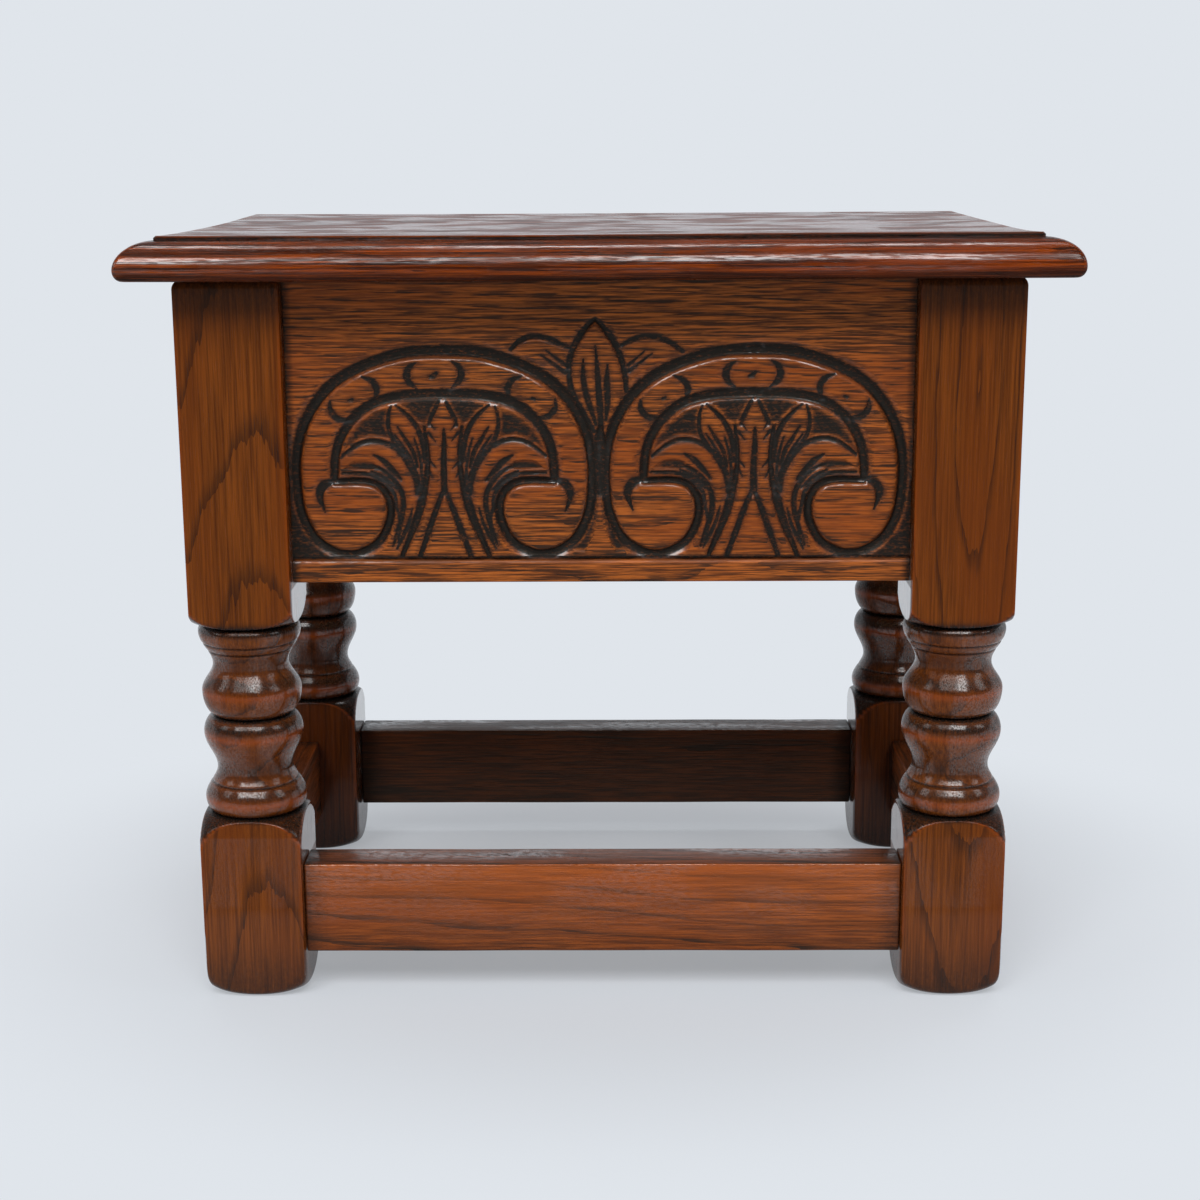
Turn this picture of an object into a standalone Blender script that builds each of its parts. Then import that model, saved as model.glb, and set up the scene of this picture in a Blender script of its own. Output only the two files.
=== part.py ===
# Oak slipper box footstool: a moulded lid, hinged at the back, on a panelled box with turned legs.
# Metres, +Z up, the front faces -Y, and the origin is on the floor under the middle of the lid.

from math import cos, pi, radians, sin

import bmesh
import bpy
from mathutils import Matrix, Vector

MM = 0.001
GAP = 0.3 * MM  # room left between pieces that touch
MERGE = 0.001 * MM  # points nearer than this are one point

# Leg posts
SPAN_X = 380 * MM  # over the outer faces of the legs, side to side
SPAN_Y = 252 * MM  # over the outer faces of the legs, front to back
LEG_SIDE = 48 * MM
LEG_TOP = 341.5 * MM
LEG_ARRIS = 2 * MM  # rounding of the upright edges
LEG_CROWN = 4.5 * MM  # rounding of the outer top edges
CROWN_STEPS = 2

# Turned length of a leg, as heights above the floor and radii from the leg's middle
TURN_SIDES = 20
ROUND_STEPS = 4  # straight runs in a quarter round
SWELL_STEPS = 5  # straight runs between a hollow and a round
CORNER_R = 35 * MM  # clears the corners of the square blocks
FOOT_FLAT_R = 14 * MM
FOOT_RISE = 18 * MM
LOW_SQUARE_Z = 67 * MM  # the lower block is fully square up to here
LOW_NECK_Z = 89 * MM
LOW_RING_Z = 95.5 * MM
LOW_WAIST_Z = 110.5 * MM
LOW_BALL_Z = 127.5 * MM
VEE_Z = 136.3 * MM
HIGH_BALL_Z = 148 * MM
HIGH_WAIST_Z = 161 * MM
HIGH_RING_Z = 176.7 * MM
HIGH_NECK_Z = 181 * MM
HIGH_SQUARE_Z = 195 * MM  # the upper block is fully square from here
NECK_R = 20.3 * MM
RING_R = 24 * MM
WAIST_R = 17.8 * MM
BALL_R = 23.4 * MM
VEE_R = 17.4 * MM

# Lid
LID_OVERHANG = 21 * MM
LID_UNDERSIDE = 342 * MM
LID_THICK = 19 * MM
NOSE_Z = 4.8 * MM  # the widest line of the moulding, above the underside
NOSE_UNDERCUT = 3.5 * MM
OVOLO_RUN = 15 * MM
OVOLO_TOP = 17 * MM
FILLET_RUN = 0.4 * MM
TOP_ARRIS = 0.7 * MM
NOSE_STEPS = 3
OVOLO_STEPS = 6

# Box panels
PANEL_BOTTOM = 202 * MM
PANEL_TOP = LEG_TOP
PANEL_THICK = 16 * MM
PANEL_SETBACK = 8 * MM  # behind the faces of the legs at the front and the ends
BACK_SETBACK = 0.5 * MM  # the back stays level with the legs so that the lid can swing down behind
BEAD_HEIGHT = 11 * MM
BEAD_ROUND = 3 * MM
BEAD_START = 105  # degrees, where the bead's round leaves the quirk
BEAD_STEPS = 3
QUIRK_WIDTH = 1.2 * MM
QUIRK_DEPTH = 2 * MM
BOARD_ARRIS = 1 * MM
ARRIS_STEPS = 2
SQUARE_EDGE = radians(40)  # edges that turn more than this are eased

# Stretchers
STRETCHER_BOTTOM = 21.5 * MM
STRETCHER_HEIGHT = 44 * MM
STRETCHER_THICK = 22 * MM
STRETCHER_SETBACK = 5 * MM

# Tenons
TENON_LENGTH = 16 * MM
PANEL_TENON_THICK = 8 * MM
PANEL_TENON_SHOULDER = 12 * MM
STRETCHER_TENON_THICK = 10 * MM
STRETCHER_TENON_SHOULDER = 6 * MM

# Box floor
BEARER_SIDE = 15 * MM
BEARER_LIFT = 2 * MM  # above the lower edge of the panels
FLOOR_THICK = 6 * MM

# Screws
SCREW_SIDES = 12
SCREW_HEAD_R = 2.8 * MM
SCREW_SHANK_R = 1.4 * MM
SCREW_HEAD_DEPTH = 1.6 * MM
SCREW_POINT = 3 * MM
HINGE_SCREW_LENGTH = 12 * MM
BEARER_SCREW_LENGTH = 25 * MM
BEARER_SCREW_SHARE = 0.6  # of the way from the bearer's middle to each end

# Hinges
HINGE_MIDDLE_X = 90 * MM
HINGE_LENGTH = 50 * MM
KNUCKLES = 5
KNUCKLE_GAP = 0.5 * MM
KNUCKLE_R = 3.3 * MM
KNUCKLE_SIDES = 16
PIN_R = 1.5 * MM
LEAF_THICK = 1.5 * MM
LEAF_BACK = 3.5 * MM  # from the pin's middle to the face that is screwed down
LEAF_WIDTH = 13.5 * MM  # from the pin's middle to the leaf's free edge
LEAF_SHORTER = 0.2 * MM  # the plate stops this far inside the outer knuckles
NOTCH_DEPTH = 3.9 * MM
HINGE_SCREW_DROP = 8.6 * MM
HINGE_SCREW_PITCH = 17 * MM
SCREWS_PER_LEAF = 3

# Worked out from the sizes above
INNER_X = SPAN_X / 2 - LEG_SIDE  # inner faces of the legs
INNER_Y = SPAN_Y / 2 - LEG_SIDE
PIN_Y = SPAN_Y / 2 - BACK_SETBACK + LEAF_BACK + GAP
PIN_Z = LID_UNDERSIDE - LEAF_BACK - GAP
BEARER_BOTTOM = PANEL_BOTTOM + BEARER_LIFT
FLOOR_BOTTOM = BEARER_BOTTOM + BEARER_SIDE + GAP

# Each side of the box: middle of the legs' outer face, turn about Z, and distance between the legs
SIDES = {
    "front": ((0, -SPAN_Y / 2, 0), 0, 2 * INNER_X),
    "back": ((0, SPAN_Y / 2, 0), pi, 2 * INNER_X),
    "left": ((-SPAN_X / 2, 0, 0), -pi / 2, 2 * INNER_Y),
    "right": ((SPAN_X / 2, 0, 0), pi / 2, 2 * INNER_Y),
}

# Finishes: colour, roughness, metallic
DARK_OAK = ((0.13, 0.042, 0.012, 1), 0.35, 0.0)
CARCASS_OAK = ((0.22, 0.082, 0.024, 1), 0.42, 0.0)
PALE_DEAL = ((0.42, 0.27, 0.14, 1), 0.7, 0.0)
BRASS = ((0.62, 0.42, 0.15, 1), 0.32, 1.0)
STEEL = ((0.36, 0.35, 0.34, 1), 0.4, 1.0)


def clear_scene():
    for old in list(bpy.data.objects):
        bpy.data.objects.remove(old, do_unlink=True)


def add_object(name, bm, finish=None):
    mesh = bpy.data.meshes.new(name)
    bmesh.ops.recalc_face_normals(bm, faces=bm.faces)
    bm.to_mesh(mesh)
    bm.free()
    obj = bpy.data.objects.new(name, mesh)
    bpy.context.scene.collection.objects.link(obj)
    if finish:
        paint(obj, finish)
    return obj


def paint(obj, finish):
    colour, roughness, metallic = finish
    material = bpy.data.materials.new(obj.name)
    material.use_nodes = True
    shader = material.node_tree.nodes["Principled BSDF"]
    shader.inputs["Base Color"].default_value = colour
    shader.inputs["Roughness"].default_value = roughness
    shader.inputs["Metallic"].default_value = metallic
    obj.data.materials.append(material)


def make_cutter(obj):
    obj.hide_render = True
    obj.display_type = "WIRE"
    return obj


def combine(obj, other, operation):
    step = obj.modifiers.new(f"{operation.lower()} {other.name}", "BOOLEAN")
    step.operation = operation
    step.solver = "EXACT"
    if isinstance(other, bpy.types.Collection):
        step.operand_type = "COLLECTION"
        step.collection = other
    else:
        step.object = other


def ease_edges(obj, width):
    step = obj.modifiers.new("eased edges", "BEVEL")
    step.width = width
    step.segments = 1
    step.limit_method = "ANGLE"
    step.angle_limit = SQUARE_EDGE


def place(obj, side):
    location, turn, _ = SIDES[side]
    obj.location = location
    obj.rotation_euler.z = turn
    return obj


def add_box(bm, low, high):
    size = Vector(high) - Vector(low)
    middle = (Vector(high) + Vector(low)) / 2
    matrix = Matrix.Translation(middle) @ Matrix.Diagonal((*size, 1))
    bmesh.ops.create_cube(bm, size=1, matrix=matrix)


def box_object(name, low, high, finish=None):
    bm = bmesh.new()
    add_box(bm, low, high)
    return add_object(name, bm, finish)


def arc(middle, half, start, stop, steps):
    # Points on an ellipse from one angle to another, in degrees, both ends included
    points = []
    for i in range(steps + 1):
        angle = radians(start + (stop - start) * i / steps)
        points.append((middle[0] + half[0] * cos(angle), middle[1] + half[1] * sin(angle)))
    return points


def swell(start, stop, steps):
    # A smooth run between two upright tangents, both ends left out
    points = []
    for i in range(1, steps):
        blend = (1 - cos(pi * i / steps)) / 2
        height = start[1] + (stop[1] - start[1]) * i / steps
        points.append((start[0] + (stop[0] - start[0]) * blend, height))
    return points


def turned(name, profile, sides, finish=None):
    # Turns a profile of (radius, height) points, listed from the top down, about Z
    bm = bmesh.new()
    verts = [bm.verts.new((radius, 0, height)) for radius, height in profile]
    for above, below in zip(verts, verts[1:]):
        bm.edges.new((above, below))
    obj = add_object(name, bm, finish)
    step = obj.modifiers.new("turn", "SCREW")
    step.axis = "Z"
    step.steps = sides
    step.render_steps = sides
    step.use_merge_vertices = True
    step.merge_threshold = MERGE
    step.use_smooth_shade = True
    return obj


def extruded(name, outline, start, stop, finish=None):
    # Extrudes a closed outline of (y, z) points along X
    bm = bmesh.new()
    face = bm.faces.new([bm.verts.new((start, y, z)) for y, z in outline])
    made = bmesh.ops.extrude_face_region(bm, geom=[face])["geom"]
    moved = [item for item in made if isinstance(item, bmesh.types.BMVert)]
    bmesh.ops.translate(bm, verts=moved, vec=(stop - start, 0, 0))
    return add_object(name, bm, finish)


def leg_profile():
    foot, block = CORNER_R - FOOT_FLAT_R, CORNER_R - NECK_R
    ring, ball = RING_R - NECK_R, BALL_R - VEE_R
    low_waist, high_waist = (WAIST_R, LOW_WAIST_Z), (WAIST_R, HIGH_WAIST_Z)
    profile = [(0, 0)]
    profile += arc((FOOT_FLAT_R, FOOT_RISE), (foot, FOOT_RISE), -90, 0, ROUND_STEPS)
    profile += arc((NECK_R, LOW_SQUARE_Z), (block, LOW_NECK_Z - LOW_SQUARE_Z), 0, 90, ROUND_STEPS)
    profile += arc((NECK_R, LOW_RING_Z), (ring, LOW_RING_Z - LOW_NECK_Z), -90, 0, ROUND_STEPS)[1:]
    profile += swell((RING_R, LOW_RING_Z), low_waist, SWELL_STEPS) + [low_waist]
    profile += swell(low_waist, (BALL_R, LOW_BALL_Z), SWELL_STEPS)
    profile += arc((VEE_R, LOW_BALL_Z), (ball, VEE_Z - LOW_BALL_Z), 0, 90, ROUND_STEPS)
    profile += arc((VEE_R, HIGH_BALL_Z), (ball, HIGH_BALL_Z - VEE_Z), -90, 0, ROUND_STEPS)[1:]
    profile += swell((BALL_R, HIGH_BALL_Z), high_waist, SWELL_STEPS) + [high_waist]
    profile += swell(high_waist, (RING_R, HIGH_RING_Z), SWELL_STEPS)
    profile += arc((NECK_R, HIGH_RING_Z), (ring, HIGH_NECK_Z - HIGH_RING_Z), 0, 90, ROUND_STEPS)
    profile += arc((NECK_R, HIGH_SQUARE_Z), (block, HIGH_SQUARE_Z - HIGH_NECK_Z), -90, 0, ROUND_STEPS)[1:]
    above = LEG_TOP + LEG_SIDE
    profile += [(CORNER_R, above), (0, above)]
    return profile[::-1]


def make_leg(name, side_x, side_y, mortises):
    # A square blank, its outer top edges rounded, turned between the blocks and then mortised
    half = LEG_SIDE / 2
    bm = bmesh.new()
    add_box(bm, (-half, -half, 0), (half, half, LEG_TOP))
    weights = bm.edges.layers.float.new("bevel_weight_edge")
    for edge in bm.edges:
        middle = (edge.verts[0].co + edge.verts[1].co) / 2
        upright = abs(edge.verts[0].co.z - edge.verts[1].co.z) > half
        outer = middle.x * side_x > half / 2 or middle.y * side_y > half / 2
        if upright:
            edge[weights] = LEG_ARRIS / LEG_CROWN
        elif middle.z > half and outer:
            edge[weights] = 1
    leg = add_object(name, bm, DARK_OAK)
    leg.location = (side_x * (SPAN_X / 2 - half), side_y * (SPAN_Y / 2 - half), 0)
    rounding = leg.modifiers.new("rounded edges", "BEVEL")
    rounding.limit_method = "WEIGHT"
    rounding.width = LEG_CROWN
    rounding.segments = CROWN_STEPS
    lathe = make_cutter(turned(f"{name}_turning", leg_profile(), TURN_SIDES))
    lathe.location = leg.location
    combine(leg, lathe, "INTERSECT")
    combine(leg, mortises, "DIFFERENCE")
    return leg


def add_tenons(board, side, middle_y, thick, bottom, top, mortises):
    # A bar through the board makes a tenon at each end, and a slightly larger one makes the mortises
    reach = SIDES[side][2] / 2 + TENON_LENGTH
    low = Vector((-reach, middle_y - thick / 2, bottom))
    high = Vector((reach, middle_y + thick / 2, top))
    bar = make_cutter(place(box_object(f"{board.name}_tenons", low, high), side))
    combine(board, bar, "UNION")
    room = Vector((GAP, GAP, GAP))
    mortise = make_cutter(place(box_object(f"{board.name}_mortises", low - room, high + room), side))
    bpy.context.scene.collection.objects.unlink(mortise)
    mortises.objects.link(mortise)


def panel_outline(face_y, beaded):
    # Section of a panel: outer face towards -Y, with a bead and quirk along its lower edge
    inner_y = face_y + PANEL_THICK
    outline = [(inner_y, PANEL_BOTTOM), (inner_y, PANEL_TOP), (face_y, PANEL_TOP)]
    if beaded:
        bead_top = PANEL_BOTTOM + BEAD_HEIGHT
        root_y = face_y + QUIRK_DEPTH
        outline += [(face_y, bead_top + QUIRK_WIDTH), (root_y, bead_top + QUIRK_WIDTH)]
        round_middle = (face_y + BEAD_ROUND, bead_top - BEAD_ROUND)
        outline += [(root_y, bead_top)]
        outline += arc(round_middle, (BEAD_ROUND, BEAD_ROUND), BEAD_START, 180, BEAD_STEPS)
    arris_middle = (face_y + BOARD_ARRIS, PANEL_BOTTOM + BOARD_ARRIS)
    outline += arc(arris_middle, (BOARD_ARRIS, BOARD_ARRIS), 180, 270, ARRIS_STEPS)
    return outline


def make_panel(side, mortises):
    face_y = BACK_SETBACK if side == "back" else PANEL_SETBACK
    half = SIDES[side][2] / 2 - GAP
    outline = panel_outline(face_y, beaded=side != "back")
    panel = place(extruded(f"panel_{side}", outline, -half, half, CARCASS_OAK), side)
    bottom = PANEL_BOTTOM + PANEL_TENON_SHOULDER + BEAD_HEIGHT
    top = PANEL_TOP - PANEL_TENON_SHOULDER
    middle_y = face_y + PANEL_THICK / 2
    add_tenons(panel, side, middle_y, PANEL_TENON_THICK, bottom, top, mortises)
    return panel


def make_stretcher(side, mortises):
    half = SIDES[side][2] / 2 - GAP
    top = STRETCHER_BOTTOM + STRETCHER_HEIGHT
    back_y = STRETCHER_SETBACK + STRETCHER_THICK
    low = (-half, STRETCHER_SETBACK, STRETCHER_BOTTOM)
    stretcher = box_object(f"stretcher_{side}", low, (half, back_y, top), CARCASS_OAK)
    place(stretcher, side)
    ease_edges(stretcher, BOARD_ARRIS)
    tenon_bottom = STRETCHER_BOTTOM + STRETCHER_TENON_SHOULDER
    middle_y = STRETCHER_SETBACK + STRETCHER_THICK / 2
    tenon_top = top - STRETCHER_TENON_SHOULDER
    add_tenons(stretcher, side, middle_y, STRETCHER_TENON_THICK, tenon_bottom, tenon_top, mortises)
    return stretcher


def make_bearer(side, holes):
    # A strip inside the panel, with two screws through it into the panel
    face_y = BACK_SETBACK if side == "back" else PANEL_SETBACK
    start_y = face_y + PANEL_THICK + GAP
    stop_y = start_y + BEARER_SIDE
    half = SIDES[side][2] / 2 - GAP
    top = BEARER_BOTTOM + BEARER_SIDE
    bearer = box_object(f"bearer_{side}", (-half, start_y, BEARER_BOTTOM), (half, stop_y, top), PALE_DEAL)
    place(bearer, side)
    location, turn, _ = SIDES[side]
    to_world = Matrix.Translation(location) @ Matrix.Rotation(turn, 4, "Z")
    screws = []
    for number, share in enumerate((-BEARER_SCREW_SHARE, BEARER_SCREW_SHARE), start=1):
        head = to_world @ Vector((share * half, stop_y, BEARER_BOTTOM + BEARER_SIDE / 2))
        aim = to_world.to_3x3() @ Vector((0, -1, 0))
        screw_name = f"bearer_{side}_screw_{number}"
        screws.append(make_screw(screw_name, head, aim, BEARER_SCREW_LENGTH, STEEL, holes))
    return [bearer] + screws


def screw_profile(length, room):
    head_r = SCREW_HEAD_R + room
    shank_r = SCREW_SHANK_R + room
    profile = [(0, room), (head_r, room)]
    if room:
        profile.append((head_r, 0))
    return profile + [
        (shank_r, -SCREW_HEAD_DEPTH),
        (shank_r, SCREW_POINT - length),
        (0, -length - room),
    ]


def make_screw(name, head, aim, length, finish, holes):
    # A countersunk screw with its head at a point, driven along a direction, and room cut for it
    screw = turned(name, screw_profile(length, 0), SCREW_SIDES, finish)
    hole = make_cutter(turned(f"{name}_hole", screw_profile(length, GAP), SCREW_SIDES))
    bpy.context.scene.collection.objects.unlink(hole)
    holes.objects.link(hole)
    for obj in (screw, hole):
        obj.location = head
        obj.rotation_euler = Vector((0, 0, -1)).rotation_difference(Vector(aim)).to_euler()
    return screw


def make_lid(holes):
    # Rectangles stacked from the underside to the top, drawn in along the moulding's profile
    nose = arc((NOSE_UNDERCUT, NOSE_Z), (NOSE_UNDERCUT, NOSE_Z), 270, 180, NOSE_STEPS)
    ovolo = arc((OVOLO_RUN, NOSE_Z), (OVOLO_RUN, OVOLO_TOP - NOSE_Z), 180, 90, OVOLO_STEPS)
    field = OVOLO_RUN + FILLET_RUN
    steps = nose + ovolo[1:]
    steps += [(field, OVOLO_TOP), (field, LID_THICK - TOP_ARRIS), (field + TOP_ARRIS, LID_THICK)]
    half_x = SPAN_X / 2 + LID_OVERHANG
    half_y = SPAN_Y / 2 + LID_OVERHANG
    bm = bmesh.new()
    loops = []
    for inset, height in steps:
        x, y, z = half_x - inset, half_y - inset, LID_UNDERSIDE + height
        corners = ((-x, -y, z), (x, -y, z), (x, y, z), (-x, y, z))
        loops.append([bm.verts.new(corner) for corner in corners])
    for below, above in zip(loops, loops[1:]):
        for i in range(4):
            j = (i + 1) % 4
            bm.faces.new((below[i], below[j], above[j], above[i]))
    bm.faces.new(loops[0][::-1])
    bm.faces.new(loops[-1])
    lid = add_object("lid", bm, DARK_OAK)
    combine(lid, holes, "DIFFERENCE")
    return lid


def make_floor():
    # A thin board that fills the box and is notched round the legs
    out_x = SPAN_X / 2 - PANEL_SETBACK - PANEL_THICK - GAP
    in_x = INNER_X - GAP
    front_y = -SPAN_Y / 2 + PANEL_SETBACK + PANEL_THICK + GAP
    back_y = SPAN_Y / 2 - BACK_SETBACK - PANEL_THICK - GAP
    in_y = INNER_Y - GAP
    right = [(in_x, front_y), (in_x, -in_y), (out_x, -in_y), (out_x, in_y), (in_x, in_y), (in_x, back_y)]
    outline = right + [(-x, y) for x, y in reversed(right)]
    bm = bmesh.new()
    face = bm.faces.new([bm.verts.new((x, y, FLOOR_BOTTOM)) for x, y in outline])
    made = bmesh.ops.extrude_face_region(bm, geom=[face])["geom"]
    moved = [item for item in made if isinstance(item, bmesh.types.BMVert)]
    bmesh.ops.translate(bm, verts=moved, vec=(0, 0, FLOOR_THICK))
    return add_object("bottom_board", bm, PALE_DEAL)


def rod(name, radius, start, stop, sides, finish=None):
    # A round bar along X
    bm = bmesh.new()
    turn = Matrix.Translation(((start + stop) / 2, 0, 0)) @ Matrix.Rotation(pi / 2, 4, "Y")
    bmesh.ops.create_cone(
        bm, cap_ends=True, segments=sides, radius1=radius, radius2=radius, depth=stop - start, matrix=turn
    )
    return add_object(name, bm, finish)


def knuckle_spans():
    pitch = (HINGE_LENGTH + KNUCKLE_GAP) / KNUCKLES
    starts = [-HINGE_LENGTH / 2 + i * pitch for i in range(KNUCKLES)]
    return [(start, start + pitch - KNUCKLE_GAP) for start in starts]


def make_leaf(name, own, axis, turn, holes):
    # A plate with every other knuckle rolled on it, notched for the knuckles of the other leaf
    half = HINGE_LENGTH / 2 - LEAF_SHORTER
    leaf = box_object(name, (-half, -LEAF_BACK, -LEAF_WIDTH), (half, LEAF_THICK - LEAF_BACK, 0), BRASS)
    tools = []
    for number, (start, stop) in enumerate(knuckle_spans()):
        if number % 2 == own:
            tool = rod(f"{name}_knuckle_{number}", KNUCKLE_R, start, stop, KNUCKLE_SIDES)
            combine(leaf, tool, "UNION")
        else:
            low = (start - KNUCKLE_GAP, -2 * LEAF_BACK, -NOTCH_DEPTH)
            tool = box_object(f"{name}_notch_{number}", low, (stop + KNUCKLE_GAP, 0, LEAF_BACK))
            combine(leaf, tool, "DIFFERENCE")
        tools.append(tool)
    bore = rod(f"{name}_bore", PIN_R + GAP, -HINGE_LENGTH, HINGE_LENGTH, KNUCKLE_SIDES)
    combine(leaf, bore, "DIFFERENCE")
    combine(leaf, holes, "DIFFERENCE")
    for obj in [leaf, bore] + tools:
        obj.location = axis
        obj.rotation_euler = turn
    for tool in [bore] + tools:
        make_cutter(tool)
    return leaf


def make_hinge(side, middle_x, holes):
    # Both leaves come from one shape: the lid's is turned end for end and then up under the lid
    axis = Vector((middle_x, PIN_Y, PIN_Z))
    box_leaf = make_leaf(f"hinge_{side}_box_leaf", 0, axis, (0, 0, 0), holes)
    lid_leaf = make_leaf(f"hinge_{side}_lid_leaf", 1, axis, (-pi / 2, 0, pi), holes)
    pin = rod(f"hinge_{side}_pin", PIN_R, -HINGE_LENGTH / 2, HINGE_LENGTH / 2, KNUCKLE_SIDES, BRASS)
    pin.location = axis
    face = LEAF_BACK - LEAF_THICK
    fixed, moving = [box_leaf, pin], [lid_leaf]
    for number in range(SCREWS_PER_LEAF):
        x = (number - (SCREWS_PER_LEAF - 1) / 2) * HINGE_SCREW_PITCH
        box_head = axis + Vector((x, -face, -HINGE_SCREW_DROP))
        lid_head = axis + Vector((x, HINGE_SCREW_DROP, face))
        box_name = f"hinge_{side}_box_screw_{number + 1}"
        lid_name = f"hinge_{side}_lid_screw_{number + 1}"
        fixed.append(make_screw(box_name, box_head, (0, -1, 0), HINGE_SCREW_LENGTH, BRASS, holes))
        moving.append(make_screw(lid_name, lid_head, (0, 0, 1), HINGE_SCREW_LENGTH, BRASS, holes))
    return fixed, moving


def gather(name, location, children):
    # An empty that carries the pieces of one body
    empty = bpy.data.objects.new(name, None)
    bpy.context.scene.collection.objects.link(empty)
    empty.location = location
    for child in children:
        child.parent = empty
        child.matrix_parent_inverse = Matrix.Translation(location).inverted()


def new_collection(name):
    collection = bpy.data.collections.new(name)
    bpy.context.scene.collection.children.link(collection)
    return collection


def main():
    clear_scene()
    mortises = new_collection("mortise_cutters")
    holes = new_collection("screw_hole_cutters")
    carcass, moving = [make_floor()], [make_lid(holes)]
    for side in SIDES:
        panel = make_panel(side, mortises)
        combine(panel, holes, "DIFFERENCE")
        bearer_set = make_bearer(side, holes)
        combine(bearer_set[0], holes, "DIFFERENCE")
        carcass += [panel, make_stretcher(side, mortises)] + bearer_set
    for end, side_y in (("front", -1), ("back", 1)):
        for hand, side_x in (("left", -1), ("right", 1)):
            carcass.append(make_leg(f"leg_{end}_{hand}", side_x, side_y, mortises))
    for hand, middle_x in (("left", -HINGE_MIDDLE_X), ("right", HINGE_MIDDLE_X)):
        fixed, hinged = make_hinge(hand, middle_x, holes)
        carcass += fixed
        moving += hinged
    gather("carcass", (0, 0, 0), carcass)
    gather("lid_axis", (0, PIN_Y, PIN_Z), moving)


main()
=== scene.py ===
import math

import bmesh
import bpy
import numpy as np
from mathutils import Matrix, Vector


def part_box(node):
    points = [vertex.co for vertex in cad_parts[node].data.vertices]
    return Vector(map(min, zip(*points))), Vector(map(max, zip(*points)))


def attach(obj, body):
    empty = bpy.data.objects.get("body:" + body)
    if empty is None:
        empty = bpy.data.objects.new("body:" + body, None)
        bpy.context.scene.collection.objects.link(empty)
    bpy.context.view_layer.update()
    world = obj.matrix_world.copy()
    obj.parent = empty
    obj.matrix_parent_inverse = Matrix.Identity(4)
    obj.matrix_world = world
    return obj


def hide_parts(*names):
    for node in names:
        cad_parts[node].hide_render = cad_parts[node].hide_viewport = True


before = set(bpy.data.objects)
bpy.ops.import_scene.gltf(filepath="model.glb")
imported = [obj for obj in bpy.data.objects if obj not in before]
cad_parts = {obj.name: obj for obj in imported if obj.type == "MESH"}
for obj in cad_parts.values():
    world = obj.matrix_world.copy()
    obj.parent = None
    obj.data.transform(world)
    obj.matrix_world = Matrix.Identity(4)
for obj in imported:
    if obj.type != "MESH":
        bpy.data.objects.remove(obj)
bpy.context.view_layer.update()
mm = 0.001
print("frame loaded,", len(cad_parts), "nodes")


# Making and shaping meshes

def deselect():
    if bpy.context.object and bpy.context.object.mode != "OBJECT":
        bpy.ops.object.mode_set(mode="OBJECT")
    bpy.ops.object.select_all(action="DESELECT")


def activate(piece):
    deselect()
    piece.select_set(True)
    bpy.context.view_layer.objects.active = piece


def editMode(piece, kind):
    activate(piece)
    bpy.ops.object.mode_set(mode="EDIT")
    bpy.ops.mesh.select_mode(type=kind)


def choose(piece, kind, test):  # selects edges or faces by their place or normal
    bpy.ops.mesh.select_all(action="DESELECT")
    sheet = bmesh.from_edit_mesh(piece.data)
    for item in {"EDGE": sheet.edges, "FACE": sheet.faces}[kind]:
        if test(item):
            item.select_set(True)
    bmesh.update_edit_mesh(piece.data)


def faceOut():  # leaves edit mode with every face pointing outwards
    bpy.ops.mesh.select_all(action="SELECT")
    bpy.ops.mesh.normals_make_consistent(inside=False)
    bpy.ops.object.mode_set(mode="OBJECT")


def named(name):  # the primitive that was just added
    piece = bpy.context.object
    piece.name = name
    piece.data.name = name
    return piece


def newPiece(name, data):
    piece = bpy.data.objects.new(name, data)
    bpy.context.scene.collection.objects.link(piece)
    return piece


def copyPiece(piece, name, matrix):  # each copy has its own mesh
    twin = newPiece(name, piece.data.copy())
    twin.data.name = name
    twin.data.transform(matrix)
    return twin


def spun(name, line, sides):  # a drawn line of radii and heights, turned about z
    mesh = bpy.data.meshes.new(name)
    mesh.from_pydata([(r * mm, 0, z * mm) for r, z in line], [(i, i + 1) for i in range(len(line) - 1)], [])
    piece = newPiece(name, mesh)
    editMode(piece, "VERT")
    bpy.ops.mesh.select_all(action="SELECT")
    bpy.ops.mesh.spin(steps=sides, angle=2 * math.pi, center=(0, 0, 0), axis=(0, 0, 1))
    bpy.ops.mesh.select_all(action="SELECT")
    bpy.ops.mesh.remove_doubles(threshold=0.002 * mm)
    faceOut()
    return piece


def applyStep(piece, kind, **settings):
    activate(piece)
    step = piece.modifiers.new(kind.lower(), kind)
    for key, value in settings.items():
        setattr(step, key, value)
    bpy.ops.object.modifier_apply(modifier=step.name)


def easeEdges(piece, width, segments):
    applyStep(piece, "BEVEL", width=width * mm, segments=segments, limit_method="ANGLE",
              angle_limit=math.radians(40))


def bar(name, low, high, arris=0.0, segments=2):  # a block between two corners, its edges eased
    deselect()
    bpy.ops.mesh.primitive_cube_add(size=1)
    piece = named(name)
    low, high = Vector(low), Vector(high)
    piece.data.transform(Matrix.Translation((low + high) / 2 * mm) @ Matrix.Diagonal((*(high - low) * mm, 1)))
    if arris:
        easeEdges(piece, arris, segments)
    return piece


def smooth(piece, degrees):
    activate(piece)
    bpy.ops.object.shade_smooth_by_angle(angle=math.radians(degrees))


def points(piece):
    flat = np.zeros(len(piece.data.vertices) * 3)
    piece.data.vertices.foreach_get("co", flat)
    return flat.reshape(-1, 3)


def setPoints(piece, place):
    piece.data.vertices.foreach_set("co", np.ascontiguousarray(place, dtype=np.float32).ravel())
    piece.data.update()


def setField(piece, name, values):  # a number on each vertex, read by the finish
    layer = piece.data.attributes.new(name, "FLOAT", "POINT")
    layer.data.foreach_set("value", np.clip(values, 0, 1).astype(np.float32))


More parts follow.
